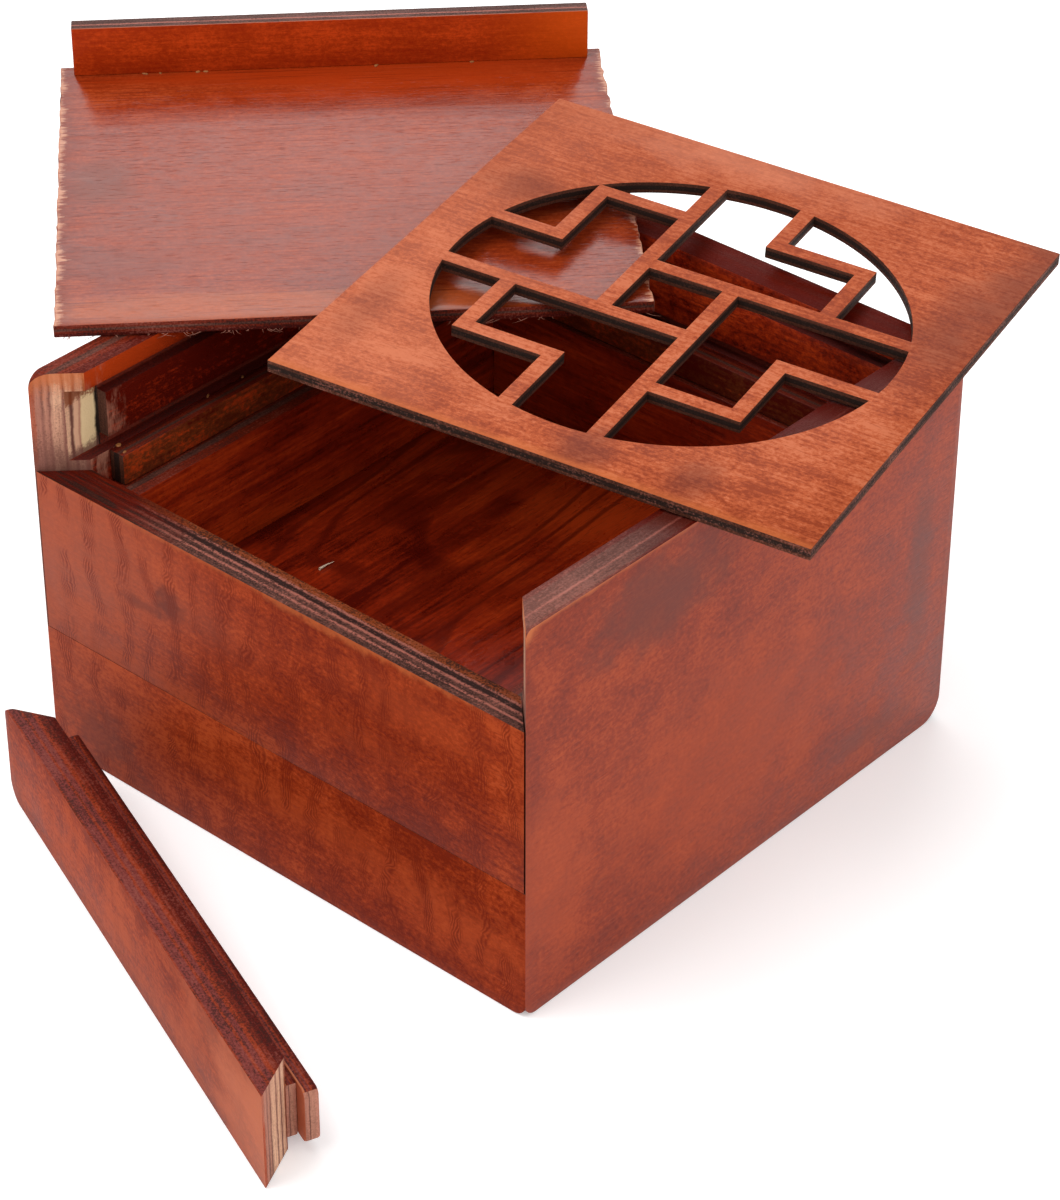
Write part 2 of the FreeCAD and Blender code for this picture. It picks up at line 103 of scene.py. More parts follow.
class StainSettings(PropertyGroup):
    """The colours of the stain, the bare plies and the burnt cuts."""

    outer_dark: tint("Outside, dark", "Darkest streaks of the outer veneer", (0.15, 0.013, 0.003))
    outer_mid: tint("Outside, middle", "Body colour of the outer veneer", (0.255, 0.028, 0.005))
    outer_light: tint("Outside, light", "Palest streaks of the outer veneer", (0.38, 0.056, 0.012))
    # Also paints the sheen on the front and on the key bar's face, and the pale hairs on the lid.
    bloom_and_sheen: tint("Bloom", "Outer veneer where the lacquer has gone pale", (0.37, 0.085, 0.040))
    # Also paints the shadow that the fretwork casts on the right wall.
    smudge_and_shadow: tint("Smudge", "Outer veneer where the stain has pooled", (0.13, 0.026, 0.016))
    glow: tint("Worn stain", "Orange wood where an arris has rubbed", (0.50, 0.125, 0.034))
    inner_dark: tint("Inside, dark", "Darkest streaks of the lacquered inside", (0.085, 0.004, 0.001))
    inner_mid: tint("Inside, middle", "Body colour of the lacquered inside", (0.29, 0.020, 0.003))
    inner_light: tint("Inside, light", "Palest streaks of the lacquered inside", (0.55, 0.055, 0.007))
    ledge_tone: tint("Ledge", "Olive brown of the ledges' faces", (0.16, 0.035, 0.008))
    fence: tint("Fence", "Body colour of the fence's front", (0.37, 0.034, 0.004))
    ember: tint("Ember", "Clear orange at the fence's right end", (0.62, 0.080, 0.004))
    fret_dark: tint("Fret, dark", "Darkest streaks of the fretwork's face", (0.26, 0.040, 0.011))
    fret_mid: tint("Fret, middle", "Body colour of the fretwork's face", (0.42, 0.082, 0.025))
    fret_light: tint("Fret, light", "Palest streaks of the fretwork's face", (0.53, 0.140, 0.060))
    # Also paints the highlight on the fretwork's pale corner and the sheen on the key bar's near end.
    dust_and_sheen: tint("Dusty fret", "Pale pinkish bloom on the fretwork's face", (0.62, 0.21, 0.115))
    dusk: tint("Stained end grain", "End grain that has drunk the stain", (0.085, 0.029, 0.020))
    rose: tint("Stained long grain", "Long grain plies seen on a stained edge", (0.33, 0.105, 0.075))
    mauve: tint("Mauve end grain", "Key bar's end grain, half filled with lacquer", (0.165, 0.026, 0.020))
    rust: tint("Varnished ply", "Inner ply with lacquer run over it", (0.21, 0.040, 0.008))
    glue_line: tint("Glue line", "Dark line between two plies", (0.025, 0.008, 0.006))
    cream: tint("Bare ply, cream", "Palest bare wood", (0.80, 0.58, 0.32))
    peach: tint("Bare ply, peach", "Bare wood of the paler plies", (0.72, 0.40, 0.25))
    salmon: tint("Bare ply, salmon", "Bare wood with a little stain on it", (0.46, 0.185, 0.125))
    scraped: tint("Scraped wood", "Bare wood along the lid's scraped sides", (0.60, 0.27, 0.16))
    tan: tint("Bare ply, tan", "Bare wood of the darker plies", (0.46, 0.20, 0.13))
    plum: tint("Bare ply, plum", "Bare wood with stain run into it", (0.15, 0.052, 0.038))
    burnt: tint("Burnt cut", "Wood scorched by the cutting beam", (0.016, 0.008, 0.005))
    scorched: tint("Scorched ply", "Paler ply showing in a burnt cut", (0.080, 0.024, 0.012))
    glue_bead: tint("Dried glue", "Glue squeezed out of a joint", (0.42, 0.16, 0.05))
    splinter: tint("Splinter", "Clean wood of the splinter in the tray", (0.95, 0.75, 0.55))
    floor_white: tint("Floor", "The pale floor that the box stands on", (0.93, 0.93, 0.93))


class StageSettings(PropertyGroup):
    """The camera, the lamps and the floor."""

    camera_place: FloatVectorProperty(
        name="Camera place", description="Where the camera stands", subtype="TRANSLATION",
        unit="LENGTH", size=3, default=(0.50703, -0.56082, 0.56407))
    camera_turn: FloatVectorProperty(
        name="Camera turn", description="How the camera is turned", subtype="EULER",
        unit="ROTATION", size=3,
        default=(math.radians(55.154), math.radians(-0.122), math.radians(41.661)))
    camera_lens: FloatProperty(
        name="Lens", description="Focal length of the camera", unit="CAMERA", default=117.49)
    floor_radius: length("Floor radius", "Radius of the pale floor", 6.0)
    floor_glow: level("Floor glow", "Light given off by the pale floor", 0.30)
    sky_strength: level("Surround", "Brightness of the white surround", 0.62)
    rear_power: level("Rear lamp", "Power of the lamp behind the box", 5.5)
    top_power: level("Top lamp", "Power of the lamp above the front corner", 10.5)
    side_power: level("Side lamp", "Power of the lamp to the right of the box", 4.5)


def tone(name):
    """One of the stain's colours, by its name."""
    return getattr(bpy.context.scene.box_stain, name)


# -------------------------------------------------------------------- boards


class Board:
    """The own axes of one board, or of boards cut from one: along, across, in from the face."""

    def __init__(self, nodes, along, outward):
        self.nodes = (nodes,) if isinstance(nodes, str) else nodes
        self.outward = outward.normalized()
        along = along.normalized()
        inward = -self.outward
        self.turn = Matrix((along, inward.cross(along), inward))
        corners = [
            self.turn @ vertex.co
            for node in self.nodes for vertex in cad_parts[node].data.vertices]
        low = Vector([min(c[i] for c in corners) for i in range(3)])
        high = Vector([max(c[i] for c in corners) for i in range(3)])
        self.origin = Vector(((low.x + high.x) / 2, (low.y + high.y) / 2, low.z))
        self.half_length = (high.x - low.x) / 2
        self.half_width = (high.y - low.y) / 2
        self.thickness = high.z - low.z

    def local(self, point):
        """A point of the shared frame in the board's own axes."""
        return self.turn @ Vector(point) - self.origin

    def world(self, along, across, inward):
        """A place given in the board's own axes, in the shared frame."""
        return self.turn.transposed() @ (Vector((along, across, inward)) + self.origin)


def longest_edge(node):
    """The direction of a node's longest square edge, turned to the right.

    Of edges about as long as each other, it is the one that runs most to the right.
    """
    square, alike = 1e-4, 0.85
    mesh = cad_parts[node].data
    sides = []
    for polygon in mesh.polygons:
        points = [mesh.vertices[v].co for v in polygon.vertices]
        for i in range(3):
            side = points[(i + 1) % 3] - points[i]
            other = points[(i + 2) % 3] - points[i]
            skew = min(abs(side.dot(other)), abs(side.dot(other - side)))
            if skew < square * side.length * other.length:
                sides.append(side)
    longest = max(side.length for side in sides)
    found = max((side for side in sides if side.length > alike * longest), key=lambda side: abs(side.x))
    found = found.normalized()
    return found if found.x > 0 else -found


def flat_normal(node):
    """The normal of a node's largest flat face, turned upwards or to the front."""
    areas = {}
    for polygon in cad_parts[node].data.polygons:
        key = tuple(round(c, 3) for c in polygon.normal)
        areas[key] = areas.get(key, 0.0) + polygon.area
    normal = Vector(max(areas, key=areas.get)).normalized()
    lead = normal.z if abs(normal.z) > 0.5 else -normal.y
    return normal if lead > 0 else -normal


def lid_boards():
    """The lid, whose grain runs along its fence, and the fence, which faces the near edge."""
    along = longest_edge("lid_fence")
    return Board("lid_panel", along, Z), Board("lid_fence", along, Vector((along.y, -along.x, 0.0)))


# ------------------------------------------------------------------ finishes

# Each layer of grain: repeats per metre along and across, detail, roughness, swirl.
GRAIN = {
    "cloud": (9.0, 22.0, 3.0, 0.5, 0.5),
    "streak": (9.0, 130.0, 3.0, 0.6, 0.0),
    "mottle": (75.0, 95.0, 4.0, 0.6, 0.3),
    "fibre": (55.0, 900.0, 3.0, 0.65, 0.0),
    "speck": (750.0, 950.0, 3.0, 0.75, 0.0),
    "pore": (230.0, 2400.0, 1.0, 0.5, 0.0),
}
# How far each layer moves the tone of a plain veneer.
PLAIN = {"cloud": 0.7, "streak": 0.3, "mottle": 0.9, "fibre": 0.7, "speck": 1.2}
# How deep the relief of a veneer and of a sawn edge is.
VENEER_RELIEF = 0.00005
EDGE_RELIEF = 0.00012
# How far two plies' colours run into each other, as a share of the thickness.
PLY_BLUR = 0.022

# Dark, middle and light tones of a veneer.
OUTER = ("outer_dark", "outer_mid", "outer_light")
INNER = ("inner_dark", "inner_mid", "inner_light")
SHADED = ("inner_dark", "inner_dark", "inner_mid")
OLIVE = ("inner_dark", "ledge_tone", "inner_light")
FENCE = ("inner_mid", "fence", "inner_light")
FRET = ("fret_dark", "fret_mid", "fret_light")

# The plies of an edge, from the outer face in: share of the thickness and colour of each.
STAINED = (
    (0.22, "dusk"), (0.07, "rose"), (0.15, "dusk"), (0.08, "rose"), (0.16, "glue_line"), (0.08, "rose"),
    (0.24, "rust"))
DARK = ((0.3, "outer_dark"), (0.2, "dusk"), (0.2, "outer_dark"), (0.3, "inner_dark"))
BARE = (
    (0.10, "outer_light"), (0.10, "salmon"), (0.05, "plum"), (0.08, "tan"), (0.05, "plum"),
    (0.20, "peach"), (0.05, "plum"), (0.13, "peach"), (0.06, "plum"), (0.12, "peach"), (0.06, "rust"))
SAWN = ((0.3, "salmon"), (0.08, "plum"), (0.34, "tan"), (0.28, "salmon"))
BURNT = ((0.3, "scorched"), (0.4, "burnt"), (0.3, "scorched"))
WALL_TOP = ((0.08, "inner_dark"), (0.30, "dusk"), (0.06, "rose"), (0.40, "dusk"), (0.16, "inner_dark"))
BAR_TOP = (
    (0.05, "outer_mid"), (0.24, "mauve"), (0.07, "outer_mid"), (0.16, "mauve"), (0.12, "outer_mid"),
    (0.14, "outer_dark"), (0.22, "inner_dark"))
FENCE_TOP = ((0.30, "dusk"), (0.04, "glue_line"), (0.14, "rose"), (0.22, "dusk"), (0.30, "dusk"))


class Finish:
    """One finish: a node material that reads a board's own coordinates, in metres."""

    def __init__(self, name, board=None):
        self.board = board
        self.material = bpy.data.materials.new(name)
        self.material.use_nodes = True
        self.tree = self.material.node_tree
        self.tree.nodes.clear()
        self.surface = self.add("ShaderNodeBsdfPrincipled")
        output = self.add("ShaderNodeOutputMaterial")
        self.feed(output.inputs["Surface"], self.surface.outputs["BSDF"])
        self.place = self.add("ShaderNodeTexCoord").outputs["Object"]
        if board:
            mapping = self.add("ShaderNodeMapping")
            self.feed(mapping.inputs["Vector"], self.place)
            mapping.inputs["Rotation"].default_value = board.turn.to_euler("XYZ")
            mapping.inputs["Location"].default_value = -board.origin
            self.place = mapping.outputs[0]

    def add(self, kind, **settings):
        node = self.tree.nodes.new(kind)
        for name, value in settings.items():
            setattr(node, name, value)
        return node

    def feed(self, socket, value):
        """Links a socket to another, or sets it to a plain value or to a named colour."""
        if isinstance(value, str):
            value = tone(value)
        if isinstance(value, bpy.types.NodeSocket):
            self.tree.links.new(value, socket)
        elif socket.type == "RGBA":
            socket.default_value = (*value, 1.0)
        else:
            socket.default_value = value

    def scaled(self, factors, offset=(0.0, 0.0, 0.0)):
        """The board's coordinates multiplied and shifted, axis by axis."""
        node = self.add("ShaderNodeVectorMath", operation="MULTIPLY_ADD")
        for socket, value in zip(node.inputs, (self.place, factors, offset)):
            self.feed(socket, value)
        return node.outputs[0]

    def warp(self, vector, amount, scale):
        """Coordinates pushed about by a slow noise."""
        noise = self.add("ShaderNodeTexNoise")
        self.feed(noise.inputs["Vector"], vector)
        noise.inputs["Scale"].default_value = scale
        node = self.add("ShaderNodeVectorMath", operation="MULTIPLY_ADD")
        for socket, value in zip(node.inputs, (noise.outputs["Color"], (amount,) * 3, vector)):
            self.feed(socket, value)
        return node.outputs[0]

    def noise(self, repeats, detail=2.0, roughness=0.5, swirl=0.0, shift=0.0):
        """A noise with its repeats per metre along, across and inwards."""
        node = self.add("ShaderNodeTexNoise")
        values = {
            "Vector": self.scaled(repeats, (shift,) * 3), "Scale": 1.0, "Detail": detail,
            "Roughness": roughness, "Distortion": swirl}
        for name, value in values.items():
            self.feed(node.inputs[name], value)
        return node.outputs[0]

    def layer(self, name, shift):
        """One of the layers of grain."""
        along, across, detail, roughness, swirl = GRAIN[name]
        return self.noise((along, across, across), detail, roughness, swirl, shift)

    def even(self, repeats, detail=3.0, shift=0.0):
        """A noise that runs no way in particular."""
        return self.noise((repeats,) * 3, detail, 0.65, 0.0, shift)

    def waves(self, vector, pitch):
        """Even bands along the first axis, one to a pitch."""
        node = self.add("ShaderNodeTexWave", bands_direction="X")
        self.feed(node.inputs["Vector"], vector)
        node.inputs["Scale"].default_value = math.tau / (20.0 * pitch)
        return node.outputs["Fac"]

    def axes(self, vector):
        """The three coordinates as separate sockets."""
        node = self.add("ShaderNodeSeparateXYZ")
        self.feed(node.inputs[0], vector)
        return node.outputs

    def shares(self):
        """Along and across as shares of the board's half length and half width."""
        return self.axes(self.scaled((1.0 / self.board.half_length, 1.0 / self.board.half_width, 1.0)))

    def maths(self, operation, *values):
        node = self.add("ShaderNodeMath", operation=operation)
        for socket, value in zip(node.inputs, values):
            self.feed(socket, value)
        return node.outputs[0]

    def times(self, *values):
        """The product of several values."""
        product = values[0]
        for value in values[1:]:
            product = self.maths("MULTIPLY", product, value)
        return product

    def fade(self, value, low, high, start=0.0, end=1.0):
        """A smooth step from start to end as a value goes from low to high."""
        node = self.add("ShaderNodeMapRange", interpolation_type="SMOOTHSTEP")
        for socket, number in zip(node.inputs, (value, low, high, start, end)):
            self.feed(socket, number)
        return node.outputs[0]

    def blend(self, factor, first, second):
        node = self.add("ShaderNodeMix", data_type="RGBA")
        for index, value in ((0, factor), (6, first), (7, second)):
            self.feed(node.inputs[index], value)
        return node.outputs[2]

    def ramp(self, value, stops):
        """A colour for a value, from (place, colour) stops in order."""
        node = self.add("ShaderNodeValToRGB")
        elements = node.color_ramp.elements
        while len(elements) < len(stops):
            elements.new(0.5)
        for element, (place, name) in zip(elements, stops):
            element.position = place
            element.color = (*tone(name), 1.0)
        self.feed(node.inputs[0], value)
        return node.outputs[0]

    def spread(self, start, *weighted):
        """A value moved either way by noises, each by its weight."""
        total = start
        for value, weight in weighted:
            total = self.maths("MULTIPLY_ADD", self.maths("SUBTRACT", value, 0.5), weight, total)
        return total

    def spot(self, colour, noise, ragged, core, centre, reach, strength, name):
        """A ragged spot of a named colour, its place and reach as shares of the board's half sides."""
        long, wide = self.board.half_length * reach[0], self.board.half_width * reach[1]
        moved = self.scaled(
            (1.0 / long, 1.0 / wide, 0.0), (-centre[0] / reach[0], -centre[1] / reach[1], 0.0))
        away = self.add("ShaderNodeVectorMath", operation="LENGTH")
        self.feed(away.inputs[0], moved)
        away = self.spread(away.outputs["Value"], (noise, ragged))
        return self.blend(self.times(self.fade(away, core, 1.0, 1.0, 0.0), strength), colour, name)

    def rim(self, noise, ragged):
        """Distance in from the board's outline, made ragged by a noise."""
        along, across, _ = self.axes(self.place)
        first = self.maths("SUBTRACT", self.board.half_length, self.maths("ABSOLUTE", along))
        second = self.maths("SUBTRACT", self.board.half_width, self.maths("ABSOLUTE", across))
        return self.spread(self.maths("MINIMUM", first, second), (noise, ragged))

    def relief(self, height, distance, strength):
        """Fine relief for the surface."""
        node = self.add("ShaderNodeBump")
        node.inputs["Strength"].default_value = strength
        node.inputs["Distance"].default_value = distance
        self.feed(node.inputs["Height"], height)
        self.feed(self.surface.inputs["Normal"], node.outputs[0])

    def set(self, **values):
        """Values of the surface's own sockets."""
        for name, value in values.items():
            self.feed(self.surface.inputs[name.replace("_", " ")], value)


def veneer(name, board, tones, gloss=0.45, sheen=0.22, rim=0.25, shift=0.0, marks=None, **weights):
    """A stained and lacquered rotary veneer with its grain along the board."""
    finish = Finish(name, board)
    grain = {layer: finish.layer(layer, shift) for layer in GRAIN}
    weights = dict(PLAIN, **weights)
    lightness = finish.spread(0.5, *((grain[layer], weight) for layer, weight in weights.items()))
    dark, middle, light = tones
    colour = finish.ramp(lightness, ((0.20, dark), (0.5, middle), (0.80, light)))
    colour = finish.blend(finish.fade(grain["pore"], 0.58, 0.74, 0.0, 0.55), colour, dark)
    if rim:
        edge = finish.rim(grain["mottle"], 0.005)
        colour = finish.blend(finish.fade(edge, 0.0005, 0.006, rim, 0.0), colour, dark)
    if marks:
        colour = marks(finish, grain, colour)
    shine = finish.fade(grain["mottle"], 0.3, 0.7, gloss - 0.05, gloss + 0.05)
    finish.set(Base_Color=colour, Roughness=shine, Specular_IOR_Level=sheen)
    height = finish.maths("SUBTRACT", grain["fibre"], finish.fade(grain["pore"], 0.55, 0.8))
    finish.relief(height, VENEER_RELIEF, 0.6)
    return finish.material


def bands(plies):
    """Colour stops across an edge, one pair to a ply, with a short blur between plies."""
    total = sum(share for share, _ in plies)
    stops, start = [], 0.0
    for share, name in plies:
        stops.append((start / total + PLY_BLUR, name))
        start += share
        stops.append((start / total - PLY_BLUR, name))
    return stops


def ply_edge(name, board, plies, gloss=0.55, sheen=0.22, soften=0.6, lift=0.3, shift=0.0, soiled=0.0,
             marks=None):
    """The edge of a plywood board, with its plies as lines along it."""
    finish = Finish(name, board)
    wander = finish.even(40.0, 3.0, shift)
    fray = finish.noise((260, 260, 260), 3.0, 0.7, 0.0, shift)
    depth = finish.maths("DIVIDE", finish.axes(finish.place)[2], board.thickness)
    colour = finish.ramp(finish.spread(depth, (wander, 0.07), (fray, 0.07)), bands(plies))
    line = finish.noise((90, 90, 1800), 3.0, 0.7, 0.0, shift)
    speck = finish.even(2000.0, 2.0, shift)
    if soiled:
        drips = finish.noise((1500, 70, 1500), 4.0, 0.7, 0.0, shift)
        colour = finish.blend(finish.fade(drips, 0.42, 0.68, 0.0, soiled), colour, "plum")
        colour = finish.blend(finish.fade(wander, 0.45, 0.7, 0.0, soiled), colour, "salmon")
    slow = finish.even(55.0, 2.0, shift + 5.0)
    shade = finish.spread(0.5, (line, 1.0), (speck, 1.5), (slow, 0.8))
    colour = finish.blend(finish.fade(shade, 0.22, 0.55, soften, 0.0), colour, "glue_line")
    colour = finish.blend(finish.fade(shade, 0.55, 0.9, 0.0, lift), colour, "rose")
    if marks:
        colour = marks(finish, {"shade": shade, "wander": wander, "fray": fray}, colour)
    shine = finish.fade(shade, 0.3, 0.7, gloss + 0.1, gloss - 0.05)
    finish.set(Base_Color=colour, Roughness=shine, Specular_IOR_Level=sheen)
    finish.relief(shade, EDGE_RELIEF, 0.7)
    return finish.material


def worn_arris(name, board, strength=0.75, shift=0.0):
    """An arris where handling has rubbed the stain thin, in broken lengths."""
    finish = Finish(name, board)
    worn = finish.noise((45, 45, 45), 4.0, 0.7, 0.0, shift)
    colour = finish.blend(finish.fade(worn, 0.30, 0.50, 0.0, strength), "outer_dark", "glow")
    finish.set(Base_Color=colour, Roughness=0.4, Specular_IOR_Level=0.4)
    return finish.material


def plain_wood(name, light, gloss=0.7):
    """A small piece of bare wood or glue in one colour, mottled a little."""
    finish = Finish(name)
    mottle = finish.noise((900, 900, 900), 2.0, 0.6)
    darker = tuple(0.55 * channel for channel in tone(light))
    finish.set(Base_Color=finish.blend(mottle, darker, light), Roughness=gloss, Specular_IOR_Level=0.3)
    return finish.material


def curly(finish, colour, strength):
    """The fine wavy lines of curly wood, in upright groups."""
    lines = finish.waves(finish.warp(finish.warp(finish.place, 0.012, 70.0), 0.0022, 260.0), 0.00075)
    groups = finish.fade(finish.waves(finish.warp(finish.place, 0.022, 32.0), 0.0085), 0.35, 0.90)
    patches = finish.fade(finish.even(60.0, 2.0, 4.0), 0.38, 0.56, 0.05, 1.0)
    return finish.blend(finish.times(groups, patches, strength, lines), colour, "outer_dark")


# ----------------------------------------------------------- making the pieces

# Triangles' corners this near are one, and faces turned less than this are one flat face.
MERGE_WITHIN = 0.00001
FLAT_WITHIN = math.radians(0.5)
# Edges sharper than these are softened, and shaded as sharp.
ARRIS_ANGLE = math.radians(30.0)
SHARP_ANGLE = math.radians(35.0)
# How squarely a face must look outwards, and how far a board's end may lean.
FLAT = 0.92
ENDWAYS = 0.6
# Where the random draws for the lid's chips, its fibres and the glue start.
CHIP_SEED, FIBRE_SEED, GLUE_SEED = 11, 5, 8


def only(piece):
    """Selects one piece alone and makes it active."""
    bpy.ops.object.select_all(action="DESELECT")
    piece.select_set(True)
    bpy.context.view_layer.objects.active = piece


def worked_board(node, name, width, work=None):
    """A board cut to a node's outline: its triangles merged into whole faces, its arrises softened."""
    piece = bpy.data.objects.new(name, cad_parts[node].data.copy())
    bpy.context.scene.collection.objects.link(piece)
    piece.data.materials.clear()
    only(piece)
    bpy.ops.mesh.customdata_custom_splitnormals_clear()
    bpy.ops.object.mode_set(mode="EDIT")
    bpy.ops.mesh.select_all(action="SELECT")
    bpy.ops.mesh.remove_doubles(threshold=MERGE_WITHIN)
    bpy.ops.mesh.dissolve_limited(angle_limit=FLAT_WITHIN)
    bpy.ops.object.mode_set(mode="OBJECT")
    if work:
        work(piece)
    bevel = piece.modifiers.new("arris", "BEVEL")
    bevel.width = width
    bevel.segments = bpy.context.scene.box_boards.arris_steps
    bevel.limit_method = "ANGLE"
    bevel.angle_limit = ARRIS_ANGLE
    bevel.use_clamp_overlap = True
    bpy.ops.object.modifier_apply(modifier=bevel.name)
    bpy.ops.object.shade_smooth_by_angle(angle=SHARP_ANGLE)
    return piece


def fray_sides(piece, board):
    """Breaks the two ends of a board into short lengths that are chipped back a little."""
    boards = bpy.context.scene.box_boards
    mesh = piece.data
    bpy.ops.object.mode_set(mode="EDIT")
    bpy.ops.mesh.select_mode(type="EDGE")
    bpy.ops.mesh.select_all(action="DESELECT")
    bpy.ops.object.mode_set(mode="OBJECT")
    at_end = [abs(abs(board.local(v.co).x) - board.half_length) < boards.hair for v in mesh.vertices]
    for edge in mesh.edges:
        first, second = edge.vertices
        run = mesh.vertices[second].co - mesh.vertices[first].co
        long_way = abs(run.dot(board.turn[1])) > board.half_width
        edge.select = at_end[first] and at_end[second] and long_way
    bpy.ops.object.mode_set(mode="EDIT")
    bpy.ops.mesh.subdivide(number_cuts=boards.chip_count)
    bpy.ops.object.mode_set(mode="OBJECT")
    draw = random.Random(CHIP_SEED)
    for vertex in mesh.vertices:
        place = board.local(vertex.co)
        at_side = abs(abs(place.x) - board.half_length) < boards.hair
        inside = abs(place.y) < board.half_width - boards.hair
        if at_side and inside:
            place.x -= math.copysign(boards.chip_depth * draw.random() ** 2, place.x)
            vertex.co = board.world(*place)


def make_board(node, name, width, finishes, choose, body, work=None):
    """Works a board, gives each face the finish that choose names, and puts it in its node's place."""
    piece = worked_board(node, name, width, work)
    names = list(finishes)
    for finish in finishes.values():
        piece.data.materials.append(finish)
    for polygon in piece.data.polygons:
        polygon.material_index = names.index(choose(polygon.center, polygon.normal))
    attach(piece, body)
    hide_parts(node)


def two_faced(board, arris="edge", ends=None):
    """Chooses outer, inner, edge, arris or ends by which way a face looks."""
    def choose(centre, normal):
        lead = normal.dot(board.outward)
        if ends and abs(normal.dot(board.turn[0])) > ENDWAYS:
            return ends
        if lead > FLAT:
            return "outer"
        if lead < -FLAT:
            return "inner"
        return arris if lead > 1.0 - FLAT else "edge"
    return choose


# --------------------------------------------------------------------- walls

# Where each ply starts to show on a pocket's floor, how far it blurs, and how far the floor starts behind
# the wall's inner face. The last, burnt band is painted shade at the floor's far end, beside the pocket's
# end.
POCKET_PLIES = (
    (0.0014, "plum"), (0.0024, "peach"), (0.0040, "tan"), (0.0046, "cream"), (0.0088, "burnt"))
POCKET_BLUR = 0.0004
POCKET_START = 0.0034
# Heights above the wall's middle between which the pocket's torn top and dirty foot fade.
POCKET_TOP = (0.0425, 0.0440)
POCKET_FOOT = (0.0290, 0.0315)
# How far a mitre looks out of its wall, and how little it looks up.
MITRE_LEAST, MITRE_MOST, MITRE_RISE = 0.5, 0.85, 0.3


def right_marks(finish, grain, colour):
    """Stain pooled at the far end, a painted shadow under the top where the fretwork overhangs, painted
    light on the lower part, worn orange at the front corners.
    """
    rough = finish.even(120.0, 5.0)
    for spot in (
            # Painted shadow: the upper front of the wall darkened where the fretwork overhangs it.
            ((-0.42, -0.74), (0.42, 0.32), 0.75, "smudge_and_shadow"),
            ((0.84, 0.05), (0.09, 0.75), 0.55, "smudge_and_shadow"),
            ((0.62, 0.80), (0.30, 0.12), 0.50, "smudge_and_shadow"),
            # Painted light: these two pale patches make the lower part of the wall lighter.
            ((-0.92, 0.35), (0.30, 0.75), 0.45, "outer_light"),
            ((-0.10, 0.30), (0.85, 0.70), 0.40, "outer_light"),
            ((-1.00, -0.99), (0.07, 0.10), 0.90, "glow")):
        colour = finish.spot(colour, rough, 1.4, 0.2, *spot)
    along, across, _ = finish.axes(finish.place)
    below = finish.spread(finish.maths("ADD", across, finish.board.half_width), (rough, 0.0022))
    line = finish.fade(below, 0.0, 0.0011, 0.65, 0.0)
    return finish.blend(finish.times(line, finish.fade(along, -0.06, 0.02, 1.0, 0.15)), colour, "glow")


def left_marks(finish, grain, colour):
    """Bare wood scraped behind the pocket, and painted light: the top strip of the inside made paler toward
    the front.
    """
    along, across, _ = finish.shares()
    # Painted light: the top strip of the inside is lighter toward the front, where light from above falls
    # on it.
    lit_top_strip = finish.fade(finish.spread(across, (grain["streak"], 0.2)), 0.86, 0.95)
    near = finish.fade(finish.spread(along, (grain["cloud"], 0.6)), -0.8, -0.1, 0.7, 0.1)
    colour = finish.blend(finish.times(lit_top_strip, near), colour, "inner_light")
    rough = finish.noise((500, 110, 500), 4.0, 0.75)
    return finish.spot(colour, rough, 3.0, 0.0, (-0.84, 0.66), (0.10, 0.34), 0.7, "tan")


def top_marks(finish, grain, colour):
    """The top edge: paler rose at the front, partly dirt and partly painted sheen, deep red further back.
    """
    # Painted sheen: the rose front of the top edge, strongest on the right wall; on the others it is weak
    # and partly dirt.
    front_sheen_and_grime = 0.6 if "right_wall" in finish.board.nodes else 0.1
    drift = finish.spread(finish.shares()[0], (grain["wander"], 0.8))
    streaked = finish.fade(grain["shade"], 0.30, 0.80, 0.45, 1.0)
    dust_and_sheen = finish.times(finish.fade(drift, -0.95, -0.3, front_sheen_and_grime, 0.0), streaked)
    colour = finish.blend(dust_and_sheen, colour, "rose")
    return finish.blend(finish.fade(drift, -0.7, -0.1, 0.0, 0.85), colour, "inner_dark")


def mitre_marks(finish, grain, colour):
    """Stain run down from the top arris, and dirt at the foot of the bare wood."""
    rise = finish.times(finish.shares()[1], math.copysign(1.0, finish.board.turn[1].z))
    rise = finish.spread(rise, (grain["fray"], 0.16), (grain["shade"], 0.05))
    colour = finish.blend(finish.fade(rise, 0.86, 0.99, 0.0, 0.8), colour, "glow")
    return finish.blend(finish.fade(rise, 0.48, 0.80, 0.9, 0.0), colour, "plum")


def pocket_marks(finish, grain, colour):
    """The pocket's floor: the cutter went through the plies at a slant, and painted shade darkens its far
    end.
    """
    board = finish.board
    along, across, _ = finish.axes(finish.place)
    reach = finish.spread(along, (grain["wander"], 0.002), (grain["fray"], 0.001))
    start = board.thickness - board.half_length - POCKET_START
    for place, name in POCKET_PLIES:
        step = finish.fade(reach, start + place - POCKET_BLUR, start + place + POCKET_BLUR)
        colour = finish.blend(step, colour, name)
    height = finish.spread(across, (grain["fray"], 0.005), (grain["shade"], 0.002))
    colour = finish.blend(finish.fade(height, *POCKET_TOP, 0.0, 0.85), colour, "rust")
    return finish.blend(finish.fade(height, *POCKET_FOOT, 0.85, 0.0), colour, "plum")


